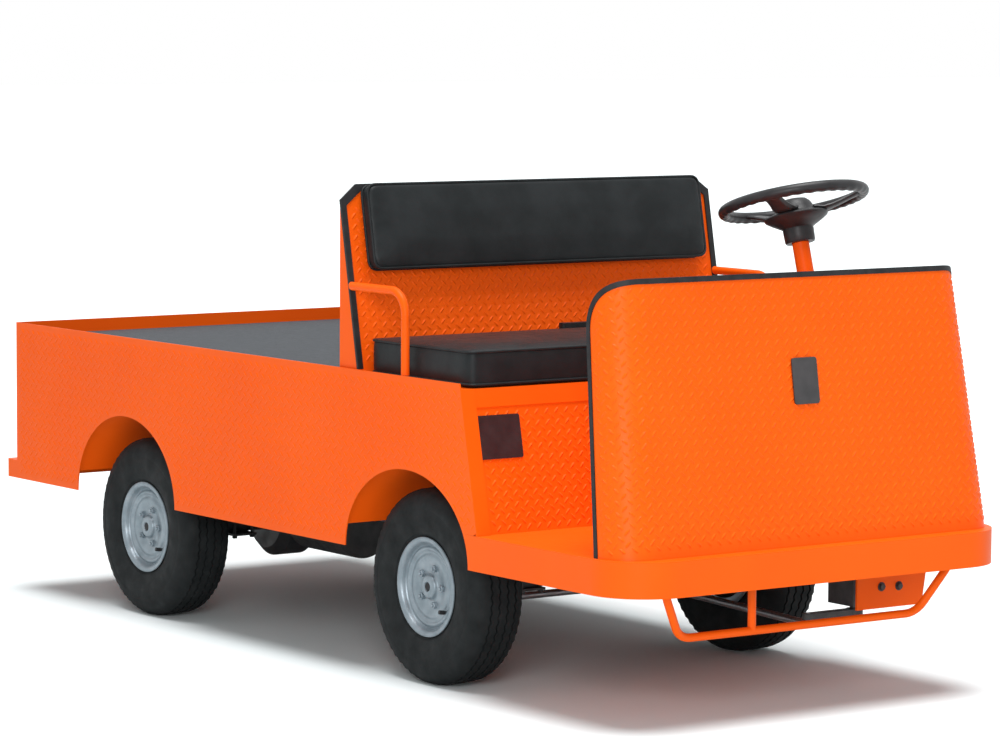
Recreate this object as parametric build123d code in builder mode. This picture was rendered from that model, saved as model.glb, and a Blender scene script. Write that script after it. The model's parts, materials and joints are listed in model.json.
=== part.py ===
from build123d import *
from math import asin, atan2, cos, degrees, hypot, radians, sin, sqrt, tan
import os

# Flatbed electric utility vehicle, in millimetres.
# The front is at -Y, the driver's side (the vehicle's left) at +X and up at +Z.
# The origin is on the ground, at the middle of the vehicle's length and width.

os.makedirs("parts", exist_ok=True)

# Body, seen from outside
body_half_width = 559
front_face_y = -1383
rear_face_y = 1383
body_bottom_z = 304
deck_top_z = 384
body_top_z = 724
sheet = 3
deck_plate = 4
fit_gap = 0.3
overrun = 20

# Wheels and tyres
front_axle_y = -530
rear_axle_y = 750
wheel_centre_x = 441
tyre_radius = 230
tyre_half_width = 71
tyre_bulge_radius = 168
tyre_shoulder_half_width = 60
tyre_shoulder_radius = 217
tyre_crown_half_width = 38
tyre_facets = 48
tyre_bead_half_width = 50
bead_seat_radius = 102
rim_flange_radius = 117
rim_half_width = 62
rim_flange_width = 4
rim_metal = 4
disc_offset = 22
disc_metal = 6
disc_rise = 16
disc_dish_radius = 74
hub_radius = 29
hub_outer_offset = 56
hub_end_thickness = 8
bearing_hub_length = 48

# Frame
rail_inner_x = 205
rail_width = 38
rail_bottom_z = 304
rail_height = 76
rail_wall = 4
rail_front_y = -1340
rail_rear_y = 1300
cross_member_width = 40
cross_member_height = 60
cross_member_places = (-1300, -842, -215, 330, 1250)
post_width = 34
bearer_height = 40
bearer_width = 40
bearer_places = (-215, 330, 1180)
outrigger_height = 36
outrigger_width = 40
outrigger_places = (-1215, -842)
tray_half_width = 345
tray_front_y = -175
tray_rear_y = 285

# Front deck and its riser
deck_corner_radius = 135
deck_rear_y = -792
riser_foot_y = -810
riser_top_y = -740
seat_plate_z = 710
seat_plate_rear_y = -236
riser_lip_height = 42
riser_lip_proud = 3
panel_corner_radius = 14
panel_return_width = 40

# Wheel arches
front_arch_half_length = 252
front_arch_height = 204
rear_arch_half_length = 246
rear_arch_height = 216
liner_step = 9
liner_inner_x = 335
liner_bottom_z = 355

# Cargo bed
bed_floor_z = 690
bed_floor_thickness = 3
bed_front_y = -235
panel_rear_y = 1325
bumper_top_z = 352
bumper_corner_radius = 12

# Cowl
cowl_side_gap = 12
cowl_narrowing = 38
cowl_base_y = -1343
cowl_top_y = -1251
cowl_top_z = 984
cowl_corner_radius = 89
cowl_wing_depth = 98
cowl_curve_start_z = 872
trim_proud = 2.5
trim_cover = 9
trim_lip = 3

# Seat back
seat_back_inset = 10
seat_back_foot_y = -321
seat_back_top_y = -236
seat_back_top_z = 1151
seat_back_corner_in = 47
seat_back_corner_down = 36
gusset_rear_y = -239
gusset_drop = 55
back_trim_width = 12
back_trim_height = 4
back_trim_wrap = 2.5

# Cushions
cushion_inset = 41
cushion_front_y = -742
cushion_rear_gap = 5
cushion_height = 80
cushion_corner = 22
cushion_edge = 10
backrest_inset = 61
backrest_bottom_z = 938
backrest_top_z = 1150
backrest_thickness = 50
backrest_edge = 10

# Hip restraint tubes
hip_tube_radius = 10
hip_tube_inset = 4
hip_tube_top_z = 917
hip_tube_foot_y = -508
hip_tube_bend = 55

# Steering
kingpin_x = 360
kingpin_radius = 10
steer_lock = 28
boss_radius = 23
boss_half_height = 35
axle_beam_size = 50
axle_beam_z = 235
ear_thickness = 14
ear_gap = 1.5
ear_radius = 25
yoke_wall = 12
yoke_clearance = 3
spindle_reach = 127
steer_arm_z = 184
steer_arm_thickness = 14
steer_arm_width = 26
tie_arm_length = 105
drag_arm_length = 140
rod_drop = 17
rod_radius = 9
rod_eye_radius = 13
rod_eye_height = 14
stud_radius = 6
stud_clearance = 0.3
gear_x = 285
gear_y = -1137
gear_bottom_z = 203
gear_top_z = 296
gear_half_width = 42
gear_half_length = 50
gear_edge = 8
sector_shaft_radius = 11
sector_shaft_top_z = 240
pitman_hub_radius = 20
column_lean = 16
column_radius = 20
column_clearance = 3
steering_wheel_radius = 165
steering_rim_radius = 13.5
steering_rim_sides = 8
steering_wheel_z = 1121
hub_cone_top_radius = 50
hub_cone_bottom_radius = 34
hub_cone_length = 62
hub_collar_length = 36
spoke_width = 34
spoke_thickness = 7
spoke_count = 3
bracket_thickness = 6
bracket_y = -1195
bracket_outer_x = 470
bracket_foot_x = 440
bracket_bottom_z = 196
bracket_side_length = 120

# Dash and column brace
dash_top_z = 868
dash_rear_y = -1150
dash_lip_bottom_z = 792
dash_half_width = 424
brace_half_width = 26
brace_thickness = 8
brace_drop = 24
collar_radius = 30
collar_length = 30

# Front guard tube
guard_radius = 9.5
guard_top_x = 412
guard_top_y = -1318
guard_bar_x = 345
guard_bar_y = -1283
guard_bar_z = 195
guard_bend = 55
guard_strut_x = -140

# Rear axle and motor
axle_tube_radius = 32
diff_x = -76
diff_radius = 102
diff_width = 120
diff_edge = 22
drum_radius = 72
drum_width = 46
drum_outer_gap = 10
axle_shaft_radius = 14
motor_radius = 88
motor_length = 250
motor_z_offset = 18
motor_neck_radius = 60
motor_neck_length = 40
motor_edge = 8

# Leaf springs
spring_x = 224
spring_width = 44
spring_half_length = 262
spring_sag = 12
leaf_thickness = 6
leaf_length_shares = (1.0, 0.72, 0.42)
spring_pad_height = 8
spring_pad_bite = 1
spring_pad_half_length = 48
hanger_length = 30
hanger_height = 26

# Battery block
battery_half_width = 330
battery_front_y = -160
battery_rear_y = 270
battery_height = 252

# Pedals
pedal_width = 70
pedal_length = 88
pedal_thickness = 9
pedal_lean = 42
pedal_stem_radius = 8
pedal_y = -1130
pedal_lift = 52
pedal_places = (215, 385)

# Worked out from the sizes above
panel_inner_x = body_half_width - sheet
cowl_base_half_width = body_half_width - cowl_side_gap
cowl_top_half_width = cowl_base_half_width - cowl_narrowing
seat_back_half_width = body_half_width - seat_back_inset
cushion_half_width = seat_back_half_width - cushion_inset
backrest_half_width = seat_back_half_width - backrest_inset
hip_tube_x = seat_back_half_width - hip_tube_inset
gusset_top_z = seat_back_top_z - gusset_drop
rail_middle_x = rail_inner_x + rail_width / 2
rail_top_z = rail_bottom_z + rail_height
bearer_bottom_z = bed_floor_z - bed_floor_thickness - bearer_height
tilt = radians(column_lean)
pitman_hub_height = gear_bottom_z - (steer_arm_z - steer_arm_thickness / 2)
rod_z = steer_arm_z - rod_drop
column_top_drop = hub_cone_length + hub_collar_length + fit_gap
column_y = gear_y + (steering_wheel_z - gear_top_z) * tan(tilt)
seat_back_lean = atan2(seat_back_top_y - seat_back_foot_y, seat_back_top_z - seat_plate_z)


def keep(builder, name):
    """Name one finished piece and write its STEP file."""
    builder.part.label = name
    export_step(builder.part, f"parts/{name}.step")


def lean_plane(drop):
    """A plane square to the steering column, a distance below the wheel's centre."""
    middle = (gear_x, column_y - drop * sin(tilt), steering_wheel_z - drop * cos(tilt))
    return Plane(origin=middle, x_dir=(1, 0, 0), z_dir=(0, sin(tilt), cos(tilt)))


# Frame rails, two hollow tubes
with BuildPart() as frame_rails:
    with BuildSketch(Plane.XZ.offset(-rail_front_y)):
        with Locations(
            (rail_middle_x, rail_bottom_z + rail_height / 2),
            (-rail_middle_x, rail_bottom_z + rail_height / 2),
        ):
            Rectangle(rail_width, rail_height)
            Rectangle(rail_width - 2 * rail_wall, rail_height - 2 * rail_wall, mode=Mode.SUBTRACT)
    extrude(amount=rail_front_y - rail_rear_y)
keep(frame_rails, "frame_rails")

# Cross members between the rails, and outriggers from the rails to the deck's edges
with BuildPart() as cross_members:
    with BuildSketch(Plane.XY.offset(rail_top_z - cross_member_height)):
        for place in cross_member_places:
            with Locations((0, place)):
                Rectangle(2 * rail_inner_x, cross_member_width)
    extrude(amount=cross_member_height)
    outrigger_length = panel_inner_x - rail_inner_x - rail_width
    with BuildSketch(Plane.XY.offset(rail_top_z - outrigger_height)):
        for place in outrigger_places:
            for side in (1, -1):
                with Locations((side * (panel_inner_x - outrigger_length / 2), place)):
                    Rectangle(outrigger_length, outrigger_width)
    extrude(amount=outrigger_height)
keep(cross_members, "frame_cross_members")

# Bearers that carry the bed floor, and the posts that carry them
with BuildPart() as bed_bearers:
    with BuildSketch(Plane.XY.offset(bearer_bottom_z)):
        for place in bearer_places:
            with Locations((0, place)):
                Rectangle(2 * panel_inner_x, bearer_width)
    extrude(amount=bearer_height)
keep(bed_bearers, "bed_bearers")

with BuildPart() as bed_posts:
    with BuildSketch(Plane.XY.offset(rail_top_z)):
        for place in bearer_places:
            with Locations((rail_middle_x, place), (-rail_middle_x, place)):
                Rectangle(post_width, post_width)
    extrude(amount=bearer_bottom_z - rail_top_z)
keep(bed_posts, "bed_posts")

# Battery block on its tray
with BuildPart() as battery_pack:
    with BuildSketch(Plane.XY.offset(rail_top_z)):
        with Locations((0, (tray_front_y + tray_rear_y) / 2)):
            Rectangle(2 * tray_half_width, tray_rear_y - tray_front_y)
    extrude(amount=deck_plate)
    with BuildSketch(Plane.XY.offset(rail_top_z + deck_plate)):
        with Locations((0, (battery_front_y + battery_rear_y) / 2)):
            Rectangle(2 * battery_half_width, battery_rear_y - battery_front_y)
    extrude(amount=battery_height)
keep(battery_pack, "battery_pack")

# Front deck, a folded pan that is open below and behind
with BuildPart() as front_deck:
    with BuildSketch(Plane.XY.offset(deck_top_z)) as deck_plan:
        with Locations((0, (front_face_y + deck_rear_y) / 2)):
            Rectangle(2 * body_half_width, deck_rear_y - front_face_y)
        fillet(deck_plan.vertices().group_by(Axis.Y)[0], deck_corner_radius)
    extrude(amount=body_bottom_z - deck_top_z)
    with BuildSketch(Plane.XY.offset(deck_top_z - deck_plate)) as deck_inside:
        inner_front = front_face_y + sheet
        inner_rear = deck_rear_y + overrun
        with Locations((0, (inner_front + inner_rear) / 2)):
            Rectangle(2 * panel_inner_x, inner_rear - inner_front)
        fillet(deck_inside.vertices().group_by(Axis.Y)[0], deck_corner_radius - sheet)
    extrude(amount=body_bottom_z - deck_top_z, mode=Mode.SUBTRACT)
    with BuildSketch(Plane.YZ.offset(-body_half_width)):
        skirt_rear = front_axle_y
        with Locations(((deck_rear_y + skirt_rear) / 2, (body_bottom_z + deck_top_z) / 2)):
            Rectangle(skirt_rear - deck_rear_y, deck_top_z - body_bottom_z)
    extrude(amount=sheet)
    mirror(about=Plane.YZ)
    with BuildSketch(Plane.YZ.offset(-body_half_width)):
        with Locations((front_axle_y, body_bottom_z)):
            Ellipse(front_arch_half_length, front_arch_height)
    extrude(amount=2 * body_half_width, mode=Mode.SUBTRACT)
    column_hole = lean_plane((steering_wheel_z - deck_top_z) / cos(tilt))
    with BuildSketch(column_hole.offset(-overrun)):
        Circle(column_radius + column_clearance)
    extrude(amount=2 * overrun, mode=Mode.SUBTRACT)
keep(front_deck, "front_deck")

# Body sides with their wheel arches, each with a folded return in front of the riser's end
return_proud = riser_lip_proud + fit_gap + sheet
side_foot_y = riser_foot_y - return_proud
side_top_y = riser_top_y - return_proud
side_foot_z = deck_top_z + fit_gap
side_slope = (side_top_y - side_foot_y) / (body_top_z - side_foot_z)
return_top_y = side_foot_y + side_slope * (seat_plate_z - side_foot_z)
for side, name in ((1, "side_panel_left"), (-1, "side_panel_right")):
    with BuildPart() as side_panel:
        with BuildSketch(Plane.YZ.offset(side * body_half_width)) as side_outline:
            with BuildLine():
                Polyline(
                    (side_top_y, body_top_z),
                    (side_foot_y, side_foot_z),
                    (front_axle_y, side_foot_z),
                    (front_axle_y, body_bottom_z),
                    (panel_rear_y, body_bottom_z),
                    (panel_rear_y, body_top_z),
                    close=True,
                )
            make_face()
            fillet(side_outline.vertices().group_by(Axis.Y)[1], panel_corner_radius)
            with Locations((front_axle_y, body_bottom_z)):
                Ellipse(front_arch_half_length, front_arch_height, mode=Mode.SUBTRACT)
            with Locations((rear_axle_y, body_bottom_z)):
                Ellipse(rear_arch_half_length, rear_arch_height, mode=Mode.SUBTRACT)
        extrude(amount=-side * sheet)
        with BuildSketch(Plane.YZ.offset(side * body_half_width)):
            with BuildLine():
                Polyline(
                    (side_foot_y, side_foot_z),
                    (side_foot_y + sheet, side_foot_z),
                    (return_top_y + sheet, seat_plate_z),
                    (return_top_y, seat_plate_z),
                    close=True,
                )
            make_face()
        extrude(amount=-side * panel_return_width)
    keep(side_panel, name)

# Wheel well liners, one arched strip at each wheel
liner_width = panel_inner_x - liner_inner_x
with BuildPart() as liners:
    for axle_y, half_length, height in (
        (front_axle_y, front_arch_half_length, front_arch_height),
        (rear_axle_y, rear_arch_half_length, rear_arch_height),
    ):
        for start_x in (liner_inner_x, -panel_inner_x):
            with BuildSketch(Plane.YZ.offset(start_x)):
                with Locations((axle_y, body_bottom_z)):
                    Ellipse(half_length + liner_step + sheet, height + liner_step + sheet)
                    Ellipse(half_length + liner_step, height + liner_step, mode=Mode.SUBTRACT)
                with Locations((axle_y, liner_bottom_z - 2 * height)):
                    Rectangle(4 * half_length, 4 * height, mode=Mode.SUBTRACT)
            extrude(amount=liner_width)
keep(liners, "wheel_liners")

# Riser and seat plate, one folded sheet
with BuildPart() as seat_box:
    riser_slope = (riser_top_y - riser_foot_y) / (body_top_z - deck_top_z)
    fold_y = riser_foot_y + riser_slope * (seat_plate_z - deck_top_z)
    lip_y = riser_foot_y + riser_slope * (seat_plate_z - riser_lip_height - deck_top_z)
    with BuildSketch(Plane.YZ.offset(-panel_inner_x + fit_gap)):
        with BuildLine():
            Polyline(
                (riser_foot_y, deck_top_z),
                (lip_y, seat_plate_z - riser_lip_height),
                (lip_y - riser_lip_proud, seat_plate_z - riser_lip_height),
                (fold_y - riser_lip_proud, seat_plate_z),
                (seat_plate_rear_y, seat_plate_z),
                (seat_plate_rear_y, bed_floor_z - bed_floor_thickness),
                (seat_plate_rear_y - sheet, bed_floor_z - bed_floor_thickness),
                (seat_plate_rear_y - sheet, seat_plate_z - sheet),
                (fold_y + sheet, seat_plate_z - sheet),
                (riser_foot_y + sheet, deck_top_z),
                close=True,
            )
        make_face()
    extrude(amount=2 * (panel_inner_x - fit_gap))
keep(seat_box, "seat_box")

# Bed floor and rear board
with BuildPart() as bed_floor:
    with BuildSketch(Plane.XY.offset(bed_floor_z - bed_floor_thickness)):
        with Locations((0, (bed_front_y + panel_rear_y - sheet) / 2)):
            Rectangle(2 * (panel_inner_x - fit_gap), panel_rear_y - sheet - bed_front_y)
    extrude(amount=bed_floor_thickness)
keep(bed_floor, "bed_floor")

with BuildPart() as rear_board:
    with BuildSketch(Plane.XZ.offset(-panel_rear_y)):
        with Locations((0, (body_bottom_z + body_top_z) / 2)):
            Rectangle(2 * (panel_inner_x - fit_gap), body_top_z - body_bottom_z)
    extrude(amount=sheet)
keep(rear_board, "rear_board")

# Rear bumper, a folded channel across the tail, open below
with BuildPart() as rear_bumper:
    bumper_middle_y = (panel_rear_y + rear_face_y) / 2
    bumper_depth = rear_face_y - panel_rear_y
    with BuildSketch(Plane.XY.offset(bumper_top_z)) as bumper_plan:
        with Locations((0, bumper_middle_y)):
            Rectangle(2 * body_half_width, bumper_depth)
        fillet(bumper_plan.vertices().group_by(Axis.Y)[-1], bumper_corner_radius)
    extrude(amount=body_bottom_z - bumper_top_z)
    with BuildSketch(Plane.XY.offset(bumper_top_z - deck_plate)):
        with Locations((0, bumper_middle_y - deck_plate - overrun / 2)):
            Rectangle(2 * body_half_width - 2 * deck_plate, bumper_depth + overrun)
    extrude(amount=body_bottom_z - bumper_top_z, mode=Mode.SUBTRACT)
keep(rear_bumper, "rear_bumper")


# Each front corner of the cowl leans back and inwards along one line, and is bent square to it
cowl_slant = Vector(-cowl_narrowing, cowl_top_y - cowl_base_y, cowl_top_z - deck_top_z)
cowl_lean = cowl_slant.normalized()
cowl_corner_plane = Plane(
    origin=(cowl_base_half_width, cowl_base_y, deck_top_z),
    x_dir=(Vector(1, 0, 0) - cowl_lean * cowl_lean.X).normalized(),
    z_dir=cowl_lean,
)


def cowl_shell(grow):
    """Add the bent sheet, grown by a margin on both sides: one corner with half the front, and its mirror image."""
    wing = Vector(cowl_corner_plane.x_dir.Y, cowl_corner_plane.y_dir.Y).normalized()
    wing_end = wing * (cowl_wing_depth + cowl_corner_radius)
    past_end = cowl_corner_radius
    with BuildSketch(cowl_corner_plane.offset(-past_end)) as section:
        with BuildLine():
            FilletPolyline(
                (-cowl_base_half_width - overrun, 0),
                (0, 0),
                (wing_end.X, wing_end.Y),
                radius=cowl_corner_radius,
            )
            offset(amount=sheet, side=Side.LEFT)
        make_face()
        if grow:
            offset(amount=grow, kind=Kind.INTERSECTION)
    extrude(section.sketch, amount=cowl_slant.length + 2 * past_end)
    split(bisect_by=Plane.YZ, keep=Keep.TOP)
    mirror(about=Plane.YZ)


def cowl_side(grow, mode):
    """Keep or cut away what lies within the cowl's outline from the side, grown on its free edges."""
    slope = (cowl_top_y - cowl_base_y) / (cowl_top_z - deck_top_z)
    foot_y = cowl_base_y + cowl_wing_depth + grow
    start_y = foot_y + slope * (cowl_curve_start_z - deck_top_z)
    end_y = cowl_top_y
    mid_y = end_y + (start_y - end_y) * cos(radians(45))
    rise = cowl_top_z + grow - cowl_curve_start_z
    mid_z = cowl_curve_start_z + rise * sin(radians(45))
    ahead = cowl_base_y - cowl_corner_radius
    span = cowl_base_half_width + overrun
    with BuildSketch(Plane.YZ.offset(-span)) as side_view:
        with BuildLine():
            Line((ahead, deck_top_z), (foot_y, deck_top_z))
            Line((foot_y, deck_top_z), (start_y, cowl_curve_start_z))
            ThreePointArc((start_y, cowl_curve_start_z), (mid_y, mid_z), (end_y, cowl_top_z + grow))
            Line((end_y, cowl_top_z + grow), (ahead, cowl_top_z + grow))
            Line((ahead, cowl_top_z + grow), (ahead, deck_top_z))
        make_face()
    extrude(side_view.sketch, amount=2 * span, dir=(1, 0, 0), mode=mode)


# Cowl, a sheet bent round two upright corners that narrows and leans back as it rises
with BuildPart() as cowl:
    cowl_shell(0)
    cowl_side(0, Mode.INTERSECT)
keep(cowl, "cowl")

# Edge trim over the cowl's free edges
with BuildPart() as cowl_trim:
    cowl_shell(trim_proud)
    cowl_side(trim_lip, Mode.INTERSECT)
    cowl_side(-trim_cover, Mode.SUBTRACT)
    add(cowl.part, mode=Mode.SUBTRACT)
keep(cowl_trim, "cowl_trim")

# Seat back, a leaning sheet with a wedge gusset behind each side
back_length = hypot(seat_back_top_y - seat_back_foot_y, seat_back_top_z - seat_plate_z)
back_plane = Plane(
    origin=(0, seat_back_foot_y, seat_plate_z),
    x_dir=(-1, 0, 0),
    z_dir=(0, cos(seat_back_lean), -sin(seat_back_lean)),
)


def back_outline(grow):
    """The seat back's outline in its own plane, grown on its sides and top."""
    half = seat_back_half_width + grow
    top = back_length + grow
    with BuildSketch(back_plane) as outline:
        with BuildLine():
            Polyline(
                (-half, 0),
                (half, 0),
                (half, top - seat_back_corner_down),
                (half - seat_back_corner_in, top),
                (-half + seat_back_corner_in, top),
                (-half, top - seat_back_corner_down),
                close=True,
            )
        make_face()
    return outline


def back_slab(grow, front, rear, mode=Mode.ADD):
    """Add or cut a slab of the seat back's outline, from in front of its face to behind it."""
    start = back_outline(grow).sketch.moved(Location(back_plane.z_dir * front))
    extrude(start, amount=rear - front, dir=back_plane.z_dir, mode=mode)


with BuildPart() as seat_back:
    back_slab(0, 0, sheet)
    for start_x in (-seat_back_half_width, seat_back_half_width - sheet):
        gusset_y = seat_back_foot_y + (gusset_top_z - seat_plate_z) * tan(seat_back_lean)
        with BuildSketch(Plane.YZ.offset(start_x)):
            with BuildLine():
                Polyline(
                    (seat_back_foot_y + sheet, seat_plate_z),
                    (gusset_rear_y, seat_plate_z),
                    (gusset_rear_y, gusset_top_z),
                    (gusset_y + sheet / 2, gusset_top_z),
                    close=True,
                )
            make_face()
        extrude(amount=sheet)
    split(bisect_by=Plane.XY.offset(seat_plate_z), keep=Keep.TOP)
keep(seat_back, "seat_back_panel")

with BuildPart() as seat_back_trim:
    back_slab(back_trim_wrap, -back_trim_height, sheet)
    back_slab(-back_trim_width, -overrun, overrun, Mode.SUBTRACT)
    back_slab(0, 0, overrun, Mode.SUBTRACT)
    split(bisect_by=Plane.XY.offset(body_top_z), keep=Keep.TOP)
keep(seat_back_trim, "seat_back_trim")

# Cushions
with BuildPart() as seat_cushion:
    cushion_rear_y = seat_back_foot_y - cushion_rear_gap
    with BuildSketch(Plane.XY.offset(seat_plate_z + fit_gap)) as cushion_plan:
        with Locations((0, (cushion_front_y + cushion_rear_y) / 2)):
            Rectangle(2 * cushion_half_width, cushion_rear_y - cushion_front_y)
        fillet(cushion_plan.vertices(), cushion_corner)
    extrude(amount=cushion_height)
    chamfer(seat_cushion.faces().sort_by(Axis.Z)[-1].edges(), cushion_edge)
keep(seat_cushion, "seat_cushion")

with BuildPart() as backrest:
    low = (backrest_bottom_z - seat_plate_z) / cos(seat_back_lean)
    high = (backrest_top_z - seat_plate_z) / cos(seat_back_lean)
    with BuildSketch(back_plane.offset(-back_trim_height - fit_gap)) as backrest_plan:
        with Locations((0, (low + high) / 2)):
            Rectangle(2 * backrest_half_width, high - low)
        fillet(backrest_plan.vertices(), cushion_corner)
    extrude(amount=-backrest_thickness)
    chamfer(backrest.faces().sort_by(Axis.Y)[0].edges(), backrest_edge)
keep(backrest, "backrest_cushion")

# Hip restraint tubes, each from the seat back's edge forward and down to the body's top edge
with BuildPart() as hip_tubes:
    tube_rear = seat_back_foot_y + (hip_tube_top_z - seat_plate_z) * tan(seat_back_lean)
    for side in (1, -1):
        with BuildLine() as hip_path:
            FilletPolyline(
                (side * hip_tube_x, tube_rear, hip_tube_top_z),
                (side * hip_tube_x, hip_tube_foot_y, hip_tube_top_z),
                (side * hip_tube_x, hip_tube_foot_y, body_top_z),
                radius=hip_tube_bend,
            )
        with BuildSketch(Plane(origin=hip_path.line @ 0, z_dir=hip_path.line % 0)):
            Circle(hip_tube_radius)
        sweep(path=hip_path.line)
    split(bisect_by=back_plane.offset(-back_trim_height), keep=Keep.BOTTOM)
keep(hip_tubes, "hip_restraints")

# Dash shelf behind the cowl, with the brace that holds the column
with BuildPart() as dash_panel:
    cowl_slope = (cowl_top_y - cowl_base_y) / (cowl_top_z - deck_top_z)
    cowl_wall = sheet * hypot(1, cowl_slope)
    dash_front_y = cowl_base_y + cowl_slope * (dash_top_z - deck_top_z) + cowl_wall
    flange_front_y = dash_front_y - cowl_slope * collar_length
    with BuildSketch(Plane.YZ.offset(-dash_half_width)):
        with BuildLine():
            Polyline(
                (dash_front_y, dash_top_z),
                (dash_rear_y, dash_top_z),
                (dash_rear_y, dash_lip_bottom_z),
                (dash_rear_y - sheet, dash_lip_bottom_z),
                (dash_rear_y - sheet, dash_top_z - sheet),
                (dash_front_y + sheet, dash_top_z - sheet),
                (flange_front_y + sheet, dash_top_z - collar_length),
                (flange_front_y, dash_top_z - collar_length),
                close=True,
            )
        make_face()
    extrude(amount=2 * dash_half_width)
    brace_z = dash_top_z - brace_drop
    brace_drop_along = (steering_wheel_z - brace_z) / cos(tilt)
    brace_end_y = column_y - brace_drop_along * sin(tilt)
    with BuildSketch(Plane.XY.offset(brace_z - brace_thickness / 2)):
        with Locations((gear_x, (dash_rear_y + brace_end_y) / 2)):
            Rectangle(2 * brace_half_width, brace_end_y - dash_rear_y)
    extrude(amount=brace_thickness)
    with BuildSketch(lean_plane(brace_drop_along + collar_length / 2)):
        Circle(collar_radius)
    extrude(amount=collar_length)
    with BuildSketch(lean_plane(brace_drop_along + collar_length + overrun)):
        Circle(column_radius)
    extrude(amount=2 * collar_length + 2 * overrun, mode=Mode.SUBTRACT)
keep(dash_panel, "dash_panel")

# Front guard, a bent bar under the deck with one strut
with BuildPart() as guard:
    with BuildLine() as guard_path:
        FilletPolyline(
            (-guard_top_x, guard_top_y, deck_top_z - deck_plate),
            (-guard_top_x, guard_top_y, body_bottom_z),
            (-guard_bar_x, guard_bar_y, guard_bar_z),
            (guard_bar_x, guard_bar_y, guard_bar_z),
            (guard_top_x, guard_top_y, body_bottom_z),
            (guard_top_x, guard_top_y, deck_top_z - deck_plate),
            radius=guard_bend,
        )
    with BuildSketch(Plane(origin=guard_path.line @ 0, z_dir=guard_path.line % 0)):
        Circle(guard_radius)
    sweep()
    with BuildSketch(Plane.XY.offset(guard_bar_z)):
        with Locations((guard_strut_x, guard_bar_y)):
            Circle(guard_radius)
    extrude(amount=rail_top_z - cross_member_height - guard_bar_z)
keep(guard, "front_guard")

# Leaf springs under the rails, each a stack of curved leaves with hangers
curve_radius = (spring_half_length**2 + spring_sag**2) / (2 * spring_sag)
leaf_stack = leaf_thickness * len(leaf_length_shares)
with BuildPart() as springs:
    for axle_y, axle_top_z in (
        (front_axle_y, axle_beam_z + axle_beam_size / 2),
        (rear_axle_y, tyre_radius + axle_tube_radius),
    ):
        seat_z = axle_top_z + spring_pad_height
        for start_x in (-spring_x - spring_width / 2, spring_x - spring_width / 2):
            for order, share in enumerate(leaf_length_shares):
                top_radius = curve_radius + order * leaf_thickness
                low_radius = top_radius + leaf_thickness
                reach = asin(spring_half_length * share / curve_radius)
                centre_z = seat_z + leaf_stack + curve_radius
                ends = []
                for radius in (top_radius, low_radius):
                    for turn in (-reach, 0, reach):
                        ends.append((axle_y + radius * sin(turn), centre_z - radius * cos(turn)))
                with BuildSketch(Plane.YZ.offset(start_x)):
                    with BuildLine():
                        ThreePointArc(ends[0], ends[1], ends[2])
                        Line(ends[2], ends[5])
                        ThreePointArc(ends[5], ends[4], ends[3])
                        Line(ends[3], ends[0])
                    make_face()
                extrude(amount=spring_width)
            with BuildSketch(Plane.YZ.offset(start_x)):
                with Locations((axle_y, (axle_top_z + seat_z + spring_pad_bite) / 2)):
                    Rectangle(2 * spring_pad_half_length, spring_pad_height + spring_pad_bite)
            extrude(amount=spring_width)
            hanger_low = min(seat_z + leaf_stack + spring_sag, rail_bottom_z) - hanger_height
            for end in (1, -1):
                with BuildSketch(Plane.YZ.offset(start_x)):
                    with Locations((axle_y + end * spring_half_length, (hanger_low + rail_bottom_z) / 2)):
                        Rectangle(hanger_length, rail_bottom_z - hanger_low)
                extrude(amount=spring_width)
keep(springs, "leaf_springs")

# Front axle beam with a boss for each kingpin
with BuildPart() as front_axle:
    with BuildSketch(Plane.YZ.offset(-kingpin_x)):
        with Locations((front_axle_y, axle_beam_z)):
            Rectangle(axle_beam_size, axle_beam_size)
    extrude(amount=2 * kingpin_x)
    with BuildSketch(Plane.XY.offset(axle_beam_z - boss_half_height)):
        with Locations((kingpin_x, front_axle_y), (-kingpin_x, front_axle_y)):
            Circle(boss_radius)
    extrude(amount=2 * boss_half_height)
    with BuildSketch(Plane.XY.offset(axle_beam_z - boss_half_height)):
        with Locations((kingpin_x, front_axle_y), (-kingpin_x, front_axle_y)):
            Circle(kingpin_radius + stud_clearance)
    extrude(amount=2 * boss_half_height, mode=Mode.SUBTRACT)
keep(front_axle, "front_axle_beam")

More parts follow.
